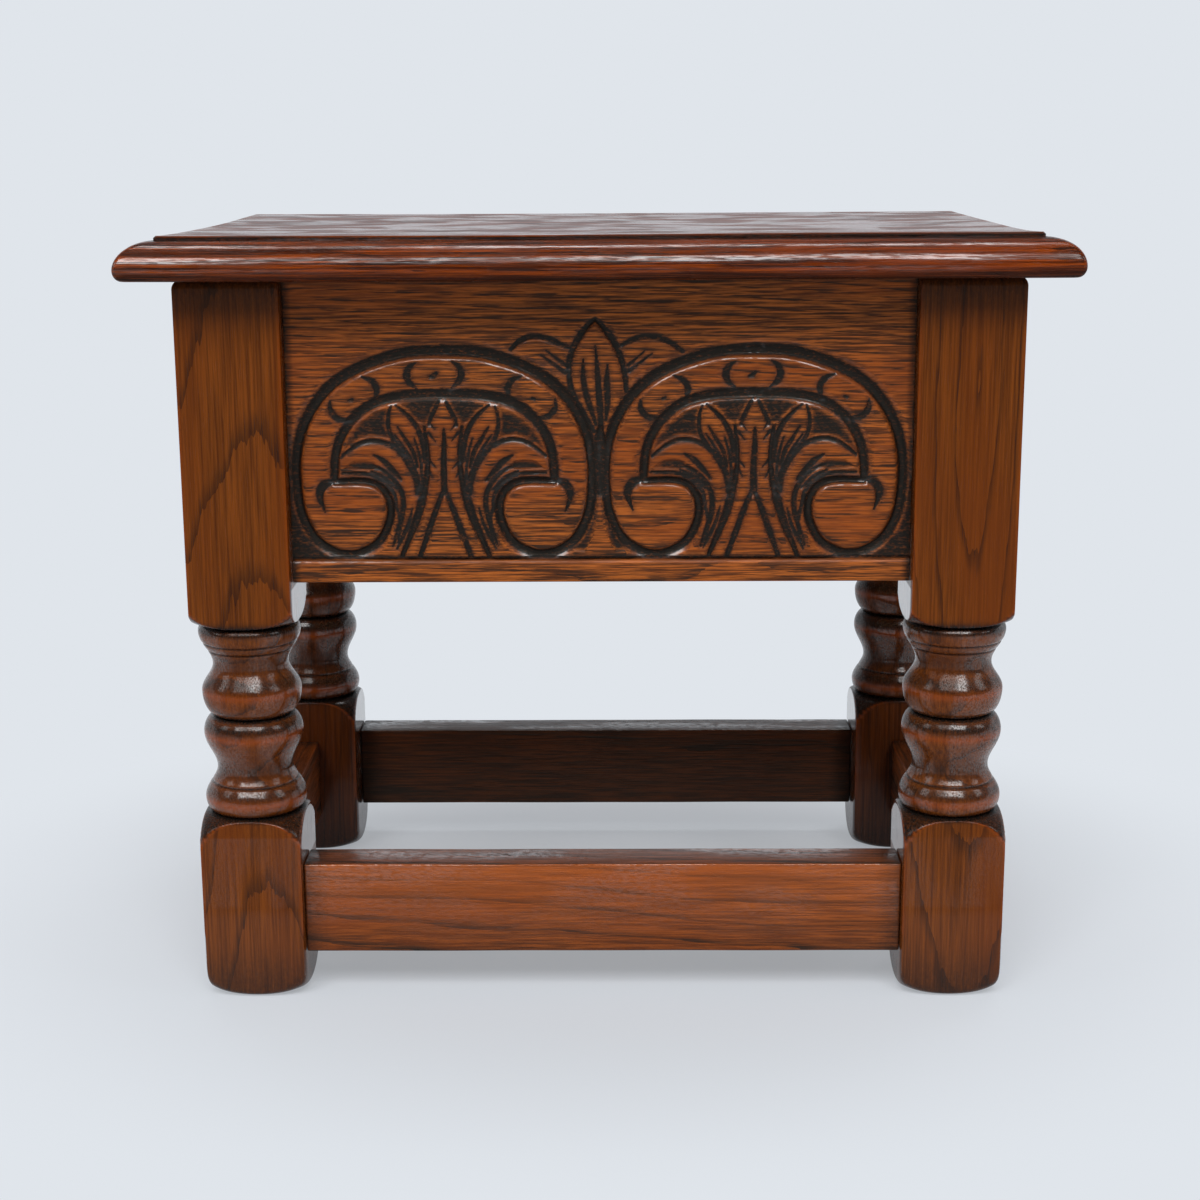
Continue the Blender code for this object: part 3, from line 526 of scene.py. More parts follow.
carveSet = {
    "lunettes": (-71.0, 70.0), "roundelShift": (-3.0, 0.0),
    "cell": 1.9, "nearCoarse": 2.0, "nearFine": 0.8, "jitter": 0.25, "steady": 0.1,
    "lip": 0.4, "lipReach": 1.2, "noLip": ("trunk", "eye", "side eye"),
    "halo": 0.42, "haloReach": 1.6, "edgeRubAndLight": 0.3, "margin": 7.0, "groundReach": 30.0,
    # pairs are for a cut's sloping side and its steep one; all but the first are half widths from its line
    "power": (2.6, 5.0), "darkTo": (1.4, 1.2), "rubAndLightAt": (1.55, 1.3), "brink": 1.2,
    # name: points, half widths along the cut, depth, how far the cut slopes on its outer side
    "half": (
        ("outer arch", ((0, 95.6), (-14, 95), (-26, 92.3), (-37.5, 88), (-49, 81.2), (-58, 71.5), (-64.3, 59.5),
                        (-67.2, 46), (-67.2, 33), (-65.5, 21), (-60, 10), (-52, 4), (-45.5, 2.4), (-39, 3.2),
                        (-30.5, 8.5), (-25.5, 18.5), (-25.5, 27.5), (-30, 34), (-37.5, 36.3), (-50, 36)),
         (2.4, 2.4, 2.3, 2.1, 2.0, 1.8, 1.8, 1.4), 2.4, 1.15),
        ("inner arch", ((0, 76.2), (-17.5, 75.4), (-31, 72.2), (-40.5, 65.5), (-46.5, 57), (-49.3, 48.5),
                        (-50.3, 37.5)),
         (2.4, 2.4, 2.3, 2.1, 1.9), 2.2, 1.0),
        ("beak", ((-50.5, 37), (-54.5, 35.3), (-56.8, 32.5), (-57.2, 29.3), (-56.3, 26), (-55, 22.5)),
         (1.2, 1.9, 1.7, 0.9, 0.25), 1.3, 1.2),
        ("side crescent", ((-31.2, 73.2), (-30.2, 78.4), (-32.2, 82), (-36.6, 84.2)),
         (0.3, 1.2, 1.2, 0.3), 0.9, 1.4),
        ("low crescent", ((-51.2, 73.2), (-50.9, 69), (-47.9, 65.4), (-42, 64.7)), (0.3, 1.2, 1.2, 0.3), 0.9, 1.4),
        ("side eye", ((-41.8, 73.8), (-40.6, 74.3)), (0.7, 0.6), 0.7, 1.0),
        ("frond back", ((-46.5, 47.5), (-43, 50.5), (-38, 53.8), (-33, 55.2), (-28, 54.8), (-22.8, 52.8),
                        (-18.7, 49.3), (-14.7, 43.3), (-12, 37.5), (-11, 31)),
         (0.5, 0.9, 1.0, 1.2, 1.3, 1.5), 1.1, 1.3),
        ("frond rib", ((-37, 44), (-31.5, 43.2), (-26, 40.4), (-22, 36.3), (-19.2, 31.3), (-18.5, 25.5),
                       (-19.5, 19), (-21.8, 12), (-23.8, 6)), (0.4, 0.9, 1.1, 1.1, 1.0, 0.4), 1.0, 1.2),
        ("frond cut", ((-31.5, 48.3), (-27, 45.5), (-23, 41.2), (-19.5, 37)), (0.4, 1.3, 1.2, 0.6), 0.9, 1.2),
        ("frond foot", ((-46.5, 39.8), (-41, 39.7), (-36, 39.5), (-31.5, 38.2), (-27, 35), (-23.5, 30.8),
                        (-22, 25)),
         (0.6, 0.8, 1.0, 1.0, 0.5), 0.9, 1.0),
        ("frond slip", ((-33.5, 41), (-27.5, 38), (-21.8, 32.5)), (0.4, 1.0, 0.5), 0.8, 1.0),
        ("frond inside", ((-24.6, 29.5), (-22.6, 25.5), (-21, 20.5), (-20.6, 14), (-21.8, 8)),
         (0.3, 0.8, 0.7, 0.3), 0.8, 1.0),
        ("frond toe", ((-15.1, 23.8), (-16.8, 17.2), (-19.6, 11), (-22.6, 5)), (0.3, 0.8, 0.9, 0.4), 0.8, 1.0),
        ("leaf left", ((-23.6, 70.8), (-24.8, 66.5), (-25, 61.6), (-24, 57.5), (-22, 54), (-18.7, 49.5)),
         (0.4, 0.8, 0.9, 1.0, 1.0), 0.9, 1.2),
        ("leaf right", ((-21.5, 71), (-16.2, 66.4), (-12.8, 62.2), (-10.5, 57.3), (-9, 51), (-8.6, 45.4)),
         (0.4, 0.9, 1.1, 1.2, 1.1), 1.1, 1.2),
        ("leaf vein", ((-20.6, 61), (-17.2, 55.3), (-13.8, 49.6), (-12, 42.6)), (0.4, 0.9, 1.0, 0.6), 0.9, 1.0),
        ("leaf split", ((-22, 57.5), (-18.6, 52.6), (-15.3, 47), (-13, 40.5), (-11.8, 34)),
         (0.4, 0.7, 0.75, 0.75, 0.5), 0.8, 1.0),
        ("leaf inner", ((-13.4, 56), (-11.2, 48.4), (-10.3, 40.5), (-10.2, 34)), (0.4, 0.7, 0.7, 0.5), 0.8, 1.0),
        ("stalk", ((-8.6, 61), (-7.6, 52.5), (-7.4, 44), (-8.2, 37), (-9.8, 29.8), (-11.8, 22), (-14.7, 14.2),
                   (-17.7, 7), (-20, 1.6)), (0.7, 1.0, 1.1, 1.5, 2.0, 1.8, 1.4, 1.0), 1.5, 1.0),
        ("lance", ((-0.3, 75), (-2.6, 70), (-5.1, 65), (-6, 61.9)), (0.3, 0.9, 1.0, 0.6), 1.0, 1.3),
        ("barb", ((-6, 62.9), (-3.6, 59.7)), (0.7, 0.2), 0.7, 1.0),
        ("barb low", ((-7, 58.8), (-4, 55)), (0.8, 0.2), 0.7, 1.0),
        ("thorn", ((-7, 45.6), (-3.9, 42.2)), (0.8, 0.2), 0.7, 1.0),
        ("thorn low", ((-7.2, 41.6), (-5.2, 37.8)), (0.7, 0.2), 0.6, 1.0),
        ("stem leg", ((-0.3, 32), (-4, 22.7), (-7.8, 12), (-11.6, 1.5)), (0.9, 1.4, 1.4, 1.1), 1.2, 1.0),
    ),
    "whole": (  # on a lunette's own middle
        ("stem", ((0.2, 60), (0.2, 52.5), (-0.2, 44.7), (-0.2, 36), (0, 31)), (0.6, 1.2, 1.4, 1.5, 1.6), 1.2, 1.0),
    ),
    "roundel": (
        ("left crescent", ((-8.6, 90.4), (-11.6, 88.2), (-12.8, 85.2), (-11.9, 81.6), (-8.6, 78.6)),
         (0.25, 1.1, 1.5, 1.1, 0.25), 0.9, 1.3),
        ("right crescent", ((6.8, 78.8), (9.9, 81.4), (11.4, 85.2), (10.2, 88.6), (7.2, 90.9)),
         (0.25, 1.1, 1.5, 1.1, 0.25), 0.9, 1.3),
        ("eye", ((-2.4, 83.9), (-0.9, 84.5), (0.4, 85.6)), (0.7, 1.1, 0.8), 0.8, 1.0),
    ),
    "middle": (  # from the middle of the board
        ("ogive left", ((-1.8, 109.3), (-5.6, 106), (-9.2, 100.7), (-11.8, 95.8), (-13.2, 90.4), (-13.4, 84.4),
                        (-12.4, 77.8), (-10, 72.3), (-6.2, 65.7), (-2.4, 59)),
         (0.8, 1.3, 1.2, 1.0, 1.2, 1.1, 0.9), 1.1, 1.2),
        ("ogive right", ((11.8, 77), (11.2, 83.7), (10, 89.7), (8, 95.7), (5.4, 100.6), (1.8, 105.6),
                         (-1.8, 109.3)),
         (1.0, 1.1, 1.2, 1.3, 0.8), 1.1, 1.2),
        ("ogive vein left", ((-7.1, 91.6), (-7.2, 83.3), (-5.9, 75.6), (-3.5, 67.9), (-1.6, 62)),
         (0.3, 1.3, 1.3, 0.7), 0.9, 1.0),
        ("ogive vein", ((-1.9, 97.6), (-1.1, 89.2), (-0.4, 78.3), (0.4, 67.3), (0.6, 59)),
         (0.3, 1.2, 1.5, 1.2), 0.9, 1.0),
        ("ogive vein right", ((3.8, 89), (3.5, 81), (3.7, 72.8), (3, 64)), (0.3, 1.5, 1.3, 0.5), 0.9, 1.0),
        ("left spray", ((-14, 96.7), (-19.5, 99.2), (-25, 101.4), (-30.4, 101.9), (-36, 99.8), (-40, 96)),
         (0.7, 1.2, 1.0, 1.1, 0.8), 1.0, 1.3),
        ("right spray", ((37.2, 94.8), (33.2, 98), (27.7, 100.6), (21.7, 101.6), (15.2, 100.3), (10.2, 97.8)),
         (0.9, 1.0, 1.0, 1.1, 0.7), 1.0, 1.3),
        ("left hatch", ((-26.4, 93.6), (-15.2, 85.6)), (0.3, 1.1), 0.8, 1.0),
        ("left hatch high", ((-24.2, 95.8), (-14.4, 88.4)), (0.3, 0.9), 0.7, 1.0),
        ("right hatch", ((23.6, 94), (13.4, 86.3)), (0.3, 1.0), 0.8, 1.0),
        ("right hatch high", ((20.2, 95.3), (12.6, 88.6)), (0.3, 0.8), 0.7, 1.0),
        ("trunk", ((0.3, 60), (0.2, 52), (0.2, 44), (0.2, 37), (0.4, 31)), (1.6, 3.0, 3.3, 3.0, 2.4), 2.3, 1.1),
    ),
    # lowered, darkened ground between the arch and the leaves
    "grounds": (
        ((-46.5, 49), (-44, 56), (-39, 62), (-32, 67.5), (-25.5, 70), (-26, 62), (-25, 57.5), (-23.5, 55),
         (-28, 56.5), (-33, 57), (-38, 55.5), (-43, 52.3)),
        ((-19.5, 71.5), (-13, 74), (-7, 74.8), (-2, 74.2), (-4, 69.5), (-6.5, 64.5), (-8.5, 62),
         (-11.5, 63.5), (-15.5, 68)),
        ((-46, 42), (-41, 45.5), (-36, 46), (-32, 45), (-30, 42), (-33, 41), (-40, 41.4)),
    ),
    "boardGrounds": (  # from the board's middle: the lower corner and the wedge between the lunettes
        ((-143, -1), (-143, 40), (-141, 34), (-139.5, 24), (-135.5, 13), (-128, 4.5), (-121, 0.5), (-119, -1)),
        ((-2.2, 27), (-4.2, 18), (-8.8, 9), (-14.5, 4), (-7, 3.4), (-3.6, 10), (-1.8, 19)),
    ),
    "groundDepth": 0.8, "groundStain": 0.92,
}


def flowLine(corners, perSpan=7):  # a smooth line through the drawn points
    p = np.array(corners, float)
    if len(p) < 3:
        return p
    p = np.vstack([2 * p[0] - p[1], p, 2 * p[-1] - p[-2]])
    t = np.linspace(0, 1, perSpan, endpoint=False)[:, None]
    parts = []
    for a, b, c, d in zip(p, p[1:], p[2:], p[3:]):
        bend, twist = 2 * a - 5 * b + 4 * c - d, 3 * b - a - 3 * c + d
        parts.append(0.5 * (2 * b + (c - a) * t + bend * t ** 2 + twist * t ** 3))
    return np.vstack(parts + [p[-2:-1]])


def allCuts():  # every cut on the board, each with a line, widths, depth, slope, crisp side and lip
    s = carveSet
    rng = np.random.default_rng(11)
    cuts = []

    def add(kind, middle, loose, way=1):
        for name, corners, widths, depth, slope in s[kind]:
            slip = rng.normal(0, 0 if "arch" in name else loose, 2)
            line = (flowLine(corners) + slip) * (way, 1) + (middle, 0)
            depth = depth * rng.uniform(0.92, 1.08)
            widths = np.array(widths, float) * rng.uniform(0.94, 1.06)
            cuts.append((line, widths, depth, slope, way, name not in s["noLip"]))

    for middle, shift in zip(s["lunettes"], s["roundelShift"]):
        for way in (1, -1):
            add("half", middle, s["jitter"], way)
        add("whole", middle, s["steady"])
        add("roundel", middle + shift, s["steady"])
    add("middle", 0, s["steady"])
    return cuts


def nearLine(spots, line):  # distance, side, share of the way along and how far below, for each spot
    best = np.full(len(spots), 1e9)
    side, share, below = np.zeros((3, len(spots)))
    spans = np.linalg.norm(np.diff(line, axis=0), axis=1)
    walked = np.concatenate([[0], np.cumsum(spans)]) / spans.sum()
    for i, (a, b) in enumerate(zip(line, line[1:])):
        run = b - a
        t = np.clip(((spots - a) @ run) / (run @ run + 1e-12), 0, 1)
        off = spots - a - t[:, None] * run
        far = np.hypot(off[:, 0], off[:, 1])
        closer = far < best
        best[closer] = far[closer]
        side[closer] = np.sign(run[0] * off[:, 1] - run[1] * off[:, 0])[closer]
        share[closer] = (walked[i] + t * (walked[i + 1] - walked[i]))[closer]
        below[closer] = (-off[:, 1] / (far + 1e-9))[closer]
    return best, side, share, below


def insideGround(spots, corners):  # signed distance to the edge of a ground, positive inside
    line = np.array(corners + corners[:1], float)
    far = nearLine(spots, line)[0]
    odd = np.zeros(len(spots), bool)
    for (ax, ay), (bx, by) in zip(line, line[1:]):
        crosses = (ay > spots[:, 1]) != (by > spots[:, 1])
        odd ^= crosses & (spots[:, 0] < (bx - ax) * (spots[:, 1] - ay) / (by - ay + 1e-12) + ax)
    return np.where(odd, far, -far)


def carve(spots, cuts):  # depth, stain and painted shade, rubbed edges with painted light on them, and the gap to the nearest cut's edge
    s = carveSet
    depth, stain_and_shade, rubAndLight = np.zeros((3, len(spots)))
    gap = np.full(len(spots), 1e3)

    def deepen(layer, values):
        layer[here] = np.maximum(layer[here], values)

    for line, widths, deepest, slope, crisp, lipped in cuts:
        low, high = line.min(0) - s["margin"], line.max(0) + s["margin"]
        here = np.flatnonzero(((spots > low) & (spots < high)).all(1))
        if not len(here):
            continue
        far, side, share, below = nearLine(spots[here], line)
        width = np.interp(share, np.linspace(0, 1, len(widths)), widths)
        outer = side * crisp < 0
        reach = np.where(outer, width * slope, width)
        share = far / reach
        section = 1 / (1 + share ** np.where(outer, *s["power"])) * (1 - ease(share, 1.6, 3.0))
        wide = 0.4 + 0.6 * ease(width, 1.0, 1.8)  # the edges of the widest cuts are rubbed most
        lip = ease(below, 0.2, 0.85) * wide * lipped  # edges that face up
        past = far - s["brink"] * reach
        rounded = s["lip"] * lip * hump(past, 0, s["lipReach"])
        deepen(depth, section * deepest * np.minimum(1, 0.35 + width / deepest) + rounded)
        # dark in the cuts: stain and painted shade
        deepen(stain_and_shade, 1 - ease(share, 0.8, np.where(outer, *s["darkTo"]) + 0.3 / reach))
        # a dark halo round each cut: grime and painted shade
        deepen(stain_and_shade, s["halo"] * hump(np.maximum(far, reach), reach, s["haloReach"]))
        # rubbed edges, which the board also paints lighter: wear, and painted light on the lit slopes
        deepen(rubAndLight, s["edgeRubAndLight"] * wide * hump(share, np.where(outer, *s["rubAndLightAt"]), 0.22))
        deepen(rubAndLight, lip * ease(share, 0.7, 1.0) * (1 - ease(past, 0.6, 1.9)))
        gap[here] = np.minimum(gap[here], far - 1.3 * reach)
    places = [("grounds", middle) for middle in s["lunettes"]] + [("boardGrounds", 0)]
    for kind, middle, way in [(*place, way) for place in places for way in (1, -1)]:
        own = (spots - (middle, 0)) * (way, 1)
        for ground in s[kind]:
            here = np.flatnonzero((np.abs(own - np.mean(ground, 0)) < s["groundReach"]).all(1))
            level = insideGround(own[here], ground)
            deepen(depth, s["groundDepth"] * ease(level, -0.5, 0.5))
            deepen(stain_and_shade, s["groundStain"] * ease(level, -1.0, 2.0))
            rubAndLight[here] *= 1 - 0.8 * ease(level, -1.5, 0.0)
            gap[here] = np.minimum(gap[here], np.abs(level) - 0.4)
    return depth, stain_and_shade, rubAndLight, gap


# Box boards

boardSet = {
    "bottom": 202.0, "top": 341.5, "thick": 16.0, "setback": 8.0, "backSetback": 0.5, "clear": 0.2,
    "bead": 11.0, "beadRound": 3.0, "quirk": 1.2, "quirkDepth": 2.0, "arris": 1.0, "plainCell": 8.0, "crease": 62,
    "borderShade": 0.85, "beadWearAndHighlight": 0.5, "cutWearAndLight": 0.55, "calm": 0.95,
}
sides = {  # middle of the legs' outer faces, turn and length between the legs, in mm and degrees
    "front": ((0, -126), 0, 284), "back": ((0, 126), 180, 284),
    "left": ((-190, 0), -90, 156), "right": ((190, 0), 90, 156),
}


def sideMatrix(side):
    (x, y), turn, _ = sides[side]
    return Matrix.Translation((x * mm, y * mm, 0)) @ Matrix.Rotation(math.radians(turn), 4, "Z")


def makeBoard(side):
    s = boardSet
    half = sides[side][2] / 2 - s["clear"]
    beaded, cuts = side != "back", allCuts() if side == "front" else []
    face = s["setback"] if beaded else s["backSetback"]
    bead = s["bottom"] + s["bead"]
    start = bead + s["quirk"] if beaded else s["bottom"] + s["arris"]
    tall = s["top"] - start
    cell = carveSet["cell"] if cuts else s["plainCell"]
    deselect()
    bpy.ops.mesh.primitive_grid_add(
        size=1, x_subdivisions=round(2 * half / cell), y_subdivisions=round(tall / cell))
    board = named("board_" + side)
    x, y, z = points(board).T
    setPoints(board, np.stack([x * 2 * half, z + face, (y + 0.5) * tall + start], 1) * mm)
    for near in (carveSet["nearCoarse"], carveSet["nearFine"]) if cuts else ():  # finer faces round the cuts
        editMode(board, "FACE")
        sheet = bmesh.from_edit_mesh(board.data)
        sheet.faces.ensure_lookup_table()
        centres = np.array([patch.calc_center_median() for patch in sheet.faces])[:, (0, 2)] / mm - (0, bead)
        gaps = carve(centres, cuts)[3]
        choose(board, "FACE", lambda patch: gaps[patch.index] < near)
        bpy.ops.mesh.subdivide(number_cuts=1)
        bpy.ops.object.mode_set(mode="OBJECT")
    place = points(board)
    place[:, 1] += carve(place[:, (0, 2)] / mm - (0, bead), cuts)[0] * mm if cuts else 0
    setPoints(board, place)
    line = []
    if beaded:
        line += [(s["quirkDepth"], start), (s["quirkDepth"], bead)]
        line += arc((s["beadRound"], bead - s["beadRound"]), (s["beadRound"], s["beadRound"]), 105, 180, 8)
    line += arc((s["arris"], s["bottom"] + s["arris"]), (s["arris"], s["arris"]), 180, 270, 4)
    line += [(s["thick"], s["bottom"]), (s["thick"], s["top"])]
    editMode(board, "EDGE")
    choose(board, "EDGE", lambda edge: edge.is_boundary and all(v.co.z < (start + 0.01) * mm for v in edge.verts))
    for out, height in line:  # the section is drawn round from the face's lower edge to the back
        bpy.ops.mesh.extrude_region_move()
        sheet = bmesh.from_edit_mesh(board.data)
        for vert in sheet.verts:
            if vert.select:
                vert.co.y, vert.co.z = (face + out) * mm, height * mm
        bmesh.update_edit_mesh(board.data)
    choose(board, "EDGE", lambda edge: edge.is_boundary and all(v.co.z > (s["top"] - 0.01) * mm for v in edge.verts)
           and abs(edge.verts[0].co.x - edge.verts[1].co.x) > 0.1 * mm)
    bpy.ops.mesh.bridge_edge_loops()
    bpy.ops.mesh.select_all(action="SELECT")
    bpy.ops.mesh.fill_holes(sides=0)
    faceOut()
    x, y, z = points(board).T / mm
    # painted shade along the top under the lid and at the ends beside the legs
    stain_and_shade = s["borderShade"] * (1 - ease(np.minimum(half - np.abs(x), s["top"] - z), 0.6, 3.4))
    if beaded:
        # painted shade in the quirk above the bead
        stain_and_shade = np.maximum(stain_and_shade, hump(z, bead + 0.5 * s["quirk"], 1.3))
    # the bead's top lighter: wear, and a painted highlight
    wear_and_light = shine = s["beadWearAndHighlight"] * hump(z, bead - 1.2, 1.2) * beaded
    if cuts:
        cutStainAndShade, rubAndLight = carve(np.stack([x, z - bead], 1), cuts)[1:3]
        stain_and_shade, shine = np.maximum(stain_and_shade, cutStainAndShade), np.maximum(shine, rubAndLight)
        # carved edges painted lighter: wear, and painted light on the lit slopes and lips
        wear_and_light = np.maximum(wear_and_light, s["cutWearAndLight"] * rubAndLight)
    for name, values in (("stain_and_shade", stain_and_shade), ("wear_and_light", wear_and_light), ("shine", shine), ("calm", s["calm"] * shine)):
        setField(board, name, values * (y < face + 3.5))  # on the outside only
    smooth(board, s["crease"])
    board.data.transform(sideMatrix(side))
    return board


# Stretchers

railSet = {
    "bottom": 21.5, "height": 44.0, "thick": 22.0, "setback": 5.0, "clear": 0.2, "arris": 0.9, "cell": 12.0,
    "wander": 0.25, "crease": 40, "endStain": 0.5, "faceShade": 0.4, "edgeWear": 0.7, "edgeShine": 0.8,
}


def makeRail(side):
    s = railSet
    half = sides[side][2] / 2 - s["clear"]
    low = Vector((-half, s["setback"], s["bottom"]))
    rail = bar("rail_" + side, low, low + Vector((2 * half, s["thick"], s["height"])), s["arris"], 4)
    editMode(rail, "EDGE")
    choose(rail, "EDGE", lambda edge: abs(edge.verts[0].co.x - edge.verts[1].co.x) > half * mm)
    bpy.ops.mesh.subdivide(number_cuts=round(2 * half / s["cell"]))
    bpy.ops.object.mode_set(mode="OBJECT")
    x, y, z = points(rail).T / mm
    rise, inward = z - s["bottom"], half - np.abs(x)
    y = y + s["wander"] * np.sin(x / 41) * np.sin(x / 17 + rise / 9) * ease(inward, 0, 20)  # hand planed
    setPoints(rail, np.stack([x, y, z], 1) * mm)
    over = rise > s["height"] - 0.1
    faces = 1 - ease(rise, 0, 2) + over  # below and above: painted shade underneath, and the top darkened against the light from above
    setField(rail, "stain_and_shade", s["endStain"] * (1 - ease(inward, 0, 4)) + s["faceShade"] * faces)
    edge = ease(rise, s["height"] - 2.2, s["height"] - 0.8) * (y < s["setback"] + 4)
    setField(rail, "wear_and_light", s["edgeWear"] * edge * ~over)
    setField(rail, "shine", np.maximum(s["edgeShine"] * edge, over))
    smooth(rail, s["crease"])
    rail.data.transform(sideMatrix(side))
    return rail


# Hinges, screws and the box floor

screwSet = {
    "head": 2.8, "headDeep": 1.6, "shank": 1.4, "root": 1.05, "pitch": 1.3, "point": 3.0, "edge": 0.2, "sides": 40,
    "slotWide": 0.7, "slotDeep": 0.8, "sink": 0.15, "hingeLength": 12.0, "bearerLength": 25.0, "crease": 30,
}
hingeSet = {
    "middle": 90.0, "axis": (129.3, 338.2), "length": 50.0, "knuckles": 5, "gap": 0.5, "knuckle": 3.3, "pin": 1.5,
    "bore": 1.8, "back": 3.5, "thick": 1.5, "reach": 13.5, "shorter": 0.2, "notch": 3.9, "drop": 8.6, "pitch": 17.0,
    "arris": 0.2, "pinArris": 0.5, "sides": 48, "crease": 32,
}
floorSet = {"bearerArris": 0.7, "boardArris": 0.4, "clear": 0.3, "legInX": 142.0, "legInY": 78.0, "crease": 32}
# a bearer's screws go outwards
aims = {"front": (0, -1, 0), "back": (0, 1, 0), "left": (-1, 0, 0), "right": (1, 0, 0)}


def rod(name, radius, start, stop, arris=0.0):  # a round bar along x
    deselect()
    bpy.ops.mesh.primitive_cylinder_add(vertices=hingeSet["sides"], radius=radius * mm, depth=(stop - start) * mm)
    piece = named(name)
    piece.data.transform(Matrix.Translation(((start + stop) / 2 * mm, 0, 0)) @ Matrix.Rotation(math.pi / 2, 4, "Y"))
    if arris:
        easeEdges(piece, arris, 3)
    return piece


def shape(piece, tool, operation):
    applyStep(piece, "BOOLEAN", object=tool, operation=operation, solver="EXACT")
    bpy.data.objects.remove(tool)


def driven(head, aim, turn=0.0):  # puts something drawn down from its head where a screw goes in
    upright = Vector((0, 0, -1)).rotation_difference(Vector(aim)).to_matrix().to_4x4()
    return Matrix.Translation(head) @ upright @ Matrix.Rotation(turn, 4, "Z")


def countersink(head, aim):  # a cutter for the room round a screw's head, running out past both faces
    s = screwSet
    slope = (s["head"] - s["shank"]) / s["headDeep"]
    wide, over = s["head"] + s["sink"], 0.3
    deselect()
    bpy.ops.mesh.primitive_cone_add(
        vertices=s["sides"], depth=(s["headDeep"] + 2 * over) * mm,
        radius1=(wide - slope * (s["headDeep"] + over)) * mm, radius2=(wide + slope * over) * mm)
    tool = named("countersink")
    tool.data.transform(driven(head, aim) @ Matrix.Translation((0, 0, -s["headDeep"] / 2 * mm)))
    return tool


def makeScrew(length):
    s = screwSet
    line = [(0, 0)] + arc((s["head"] - s["edge"], -s["edge"]), (s["edge"], s["edge"]), 90, 0, 4)
    line += [(s["shank"], -s["headDeep"])]
    for z in np.arange(s["headDeep"] + s["pitch"], length - s["point"], s["pitch"]):  # the thread
        line += [(s["root"], -z + s["pitch"] / 2), (s["shank"], -z)]
    line += [(s["root"], s["point"] - length), (0, -length)]
    screw = spun("screw_pattern", line, s["sides"])
    wide = s["slotWide"] / 2
    shape(screw, bar("slot", (-2 * s["head"], -wide, -s["slotDeep"]), (2 * s["head"], wide, 1)), "DIFFERENCE")
    smooth(screw, s["crease"])
    return screw


def makeLeaf(name, own):  # a plate with every other knuckle, hanging below the pin
    s = hingeSet
    half = s["length"] / 2 - s["shorter"]
    leaf = bar(name, (-half, -s["back"], -s["reach"]), (half, s["thick"] - s["back"], 0), s["arris"])
    step = (s["length"] + s["gap"]) / s["knuckles"]
    for number in range(s["knuckles"]):
        start = -s["length"] / 2 + number * step
        if number % 2 == own:
            shape(leaf, rod("knuckle", s["knuckle"], start, start + step - s["gap"], s["arris"]), "UNION")
        else:
            low, high = (start - s["gap"], -2 * s["back"], -s["notch"]), (start + step, 0, s["back"])
            shape(leaf, bar("notch", low, high), "DIFFERENCE")
    shape(leaf, rod("bore", s["bore"], -s["length"], s["length"]), "DIFFERENCE")
    for place in (-1, 0, 1):
        head = Vector((place * s["pitch"], s["thick"] - s["back"], -s["drop"])) * mm
        shape(leaf, countersink(head, (0, -1, 0)), "DIFFERENCE")
    smooth(leaf, s["crease"])
    return leaf


def makeBearer(side):
    low, high = (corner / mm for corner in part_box("bearer_" + side))
    bearer = bar("strip_" + side, low, high, floorSet["bearerArris"])
    for number in (1, 2):
        head = headOf("bearer_%s_screw_%d" % (side, number), aims[side])
        shape(bearer, countersink(head, aims[side]), "DIFFERENCE")
    smooth(bearer, floorSet["crease"])
    return bearer


def makeFloor():  # notched round the legs
    s = floorSet
    board = bar("base_board", *(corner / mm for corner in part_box("bottom_board")))
    past, under, over = 300, 100, 400  # the cutters run out past the board
    for x in (-1, 1):
        for y in (-1, 1):
            spans = [sorted((way * (inner - s["clear"]), way * past))
                     for way, inner in ((x, s["legInX"]), (y, s["legInY"]))]
            shape(board, bar("leg", *zip(*spans, (under, over))), "DIFFERENCE")
    easeEdges(board, s["boardArris"], 2)
    smooth(board, s["crease"])
    return board


def headOf(node, aim):  # the middle of a screw's head
    low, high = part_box(node)
    middle = (low + high) / 2
    return middle - Vector(aim) * abs((high - low).dot(Vector(aim))) / 2


def driveScrew(pattern, node, aim, turn, body, slot, finish):
    screw = copyPiece(pattern, finish.name + "_" + node, driven(headOf(node, aim), aim, turn))
    handOver(screw, body, slot, finish, node)


def metal(name, bright, dull, rough):
    finish, shader, place = newFinish(name)
    patch = place.noise((70, 70, 70), 3.0, 0.5)
    fine = place.noise((1500, 1500, 1500), 2.0)
    patch.span(0.4, 0.64).tint(bright, dull).feed(shader.inputs["Base Color"])
    (patch.span(0.4, 0.7) * 0.16 + fine * 0.08 + rough).feed(shader.inputs["Roughness"])
    fine.bump(0.2, 0.0001).feed(shader.inputs["Normal"])
    shader.inputs["Metallic"].default_value = 1.0
    return finish


# Camera, light and floor

viewSet = {
    "lens": 61.88, "sensor": 36.0, "eye": (0.0098, -1.0452, 0.4101),
    "pitch": 13.148, "yaw": -0.627, "roll": -0.316,  # degrees
}


def addCamera():
    pitch, yaw, roll = (math.radians(viewSet[key]) for key in ("pitch", "yaw", "roll"))
    ahead = Vector((math.sin(yaw) * math.cos(pitch), math.cos(yaw) * math.cos(pitch), -math.sin(pitch)))
    level = Vector((math.cos(yaw), -math.sin(yaw), 0))
    upward = level.cross(ahead)
    right = math.cos(roll) * level + math.sin(roll) * upward
    upward = -math.sin(roll) * level + math.cos(roll) * upward
    turn = Matrix((right, upward, -ahead)).transposed()
    lens = bpy.data.cameras.new("camera")
    lens.lens, lens.sensor_width, lens.clip_end = viewSet["lens"], viewSet["sensor"], 300
    camera = newPiece("camera", lens)
    camera.matrix_world = Matrix.Translation(viewSet["eye"]) @ turn.to_4x4()
    bpy.context.scene.camera = camera


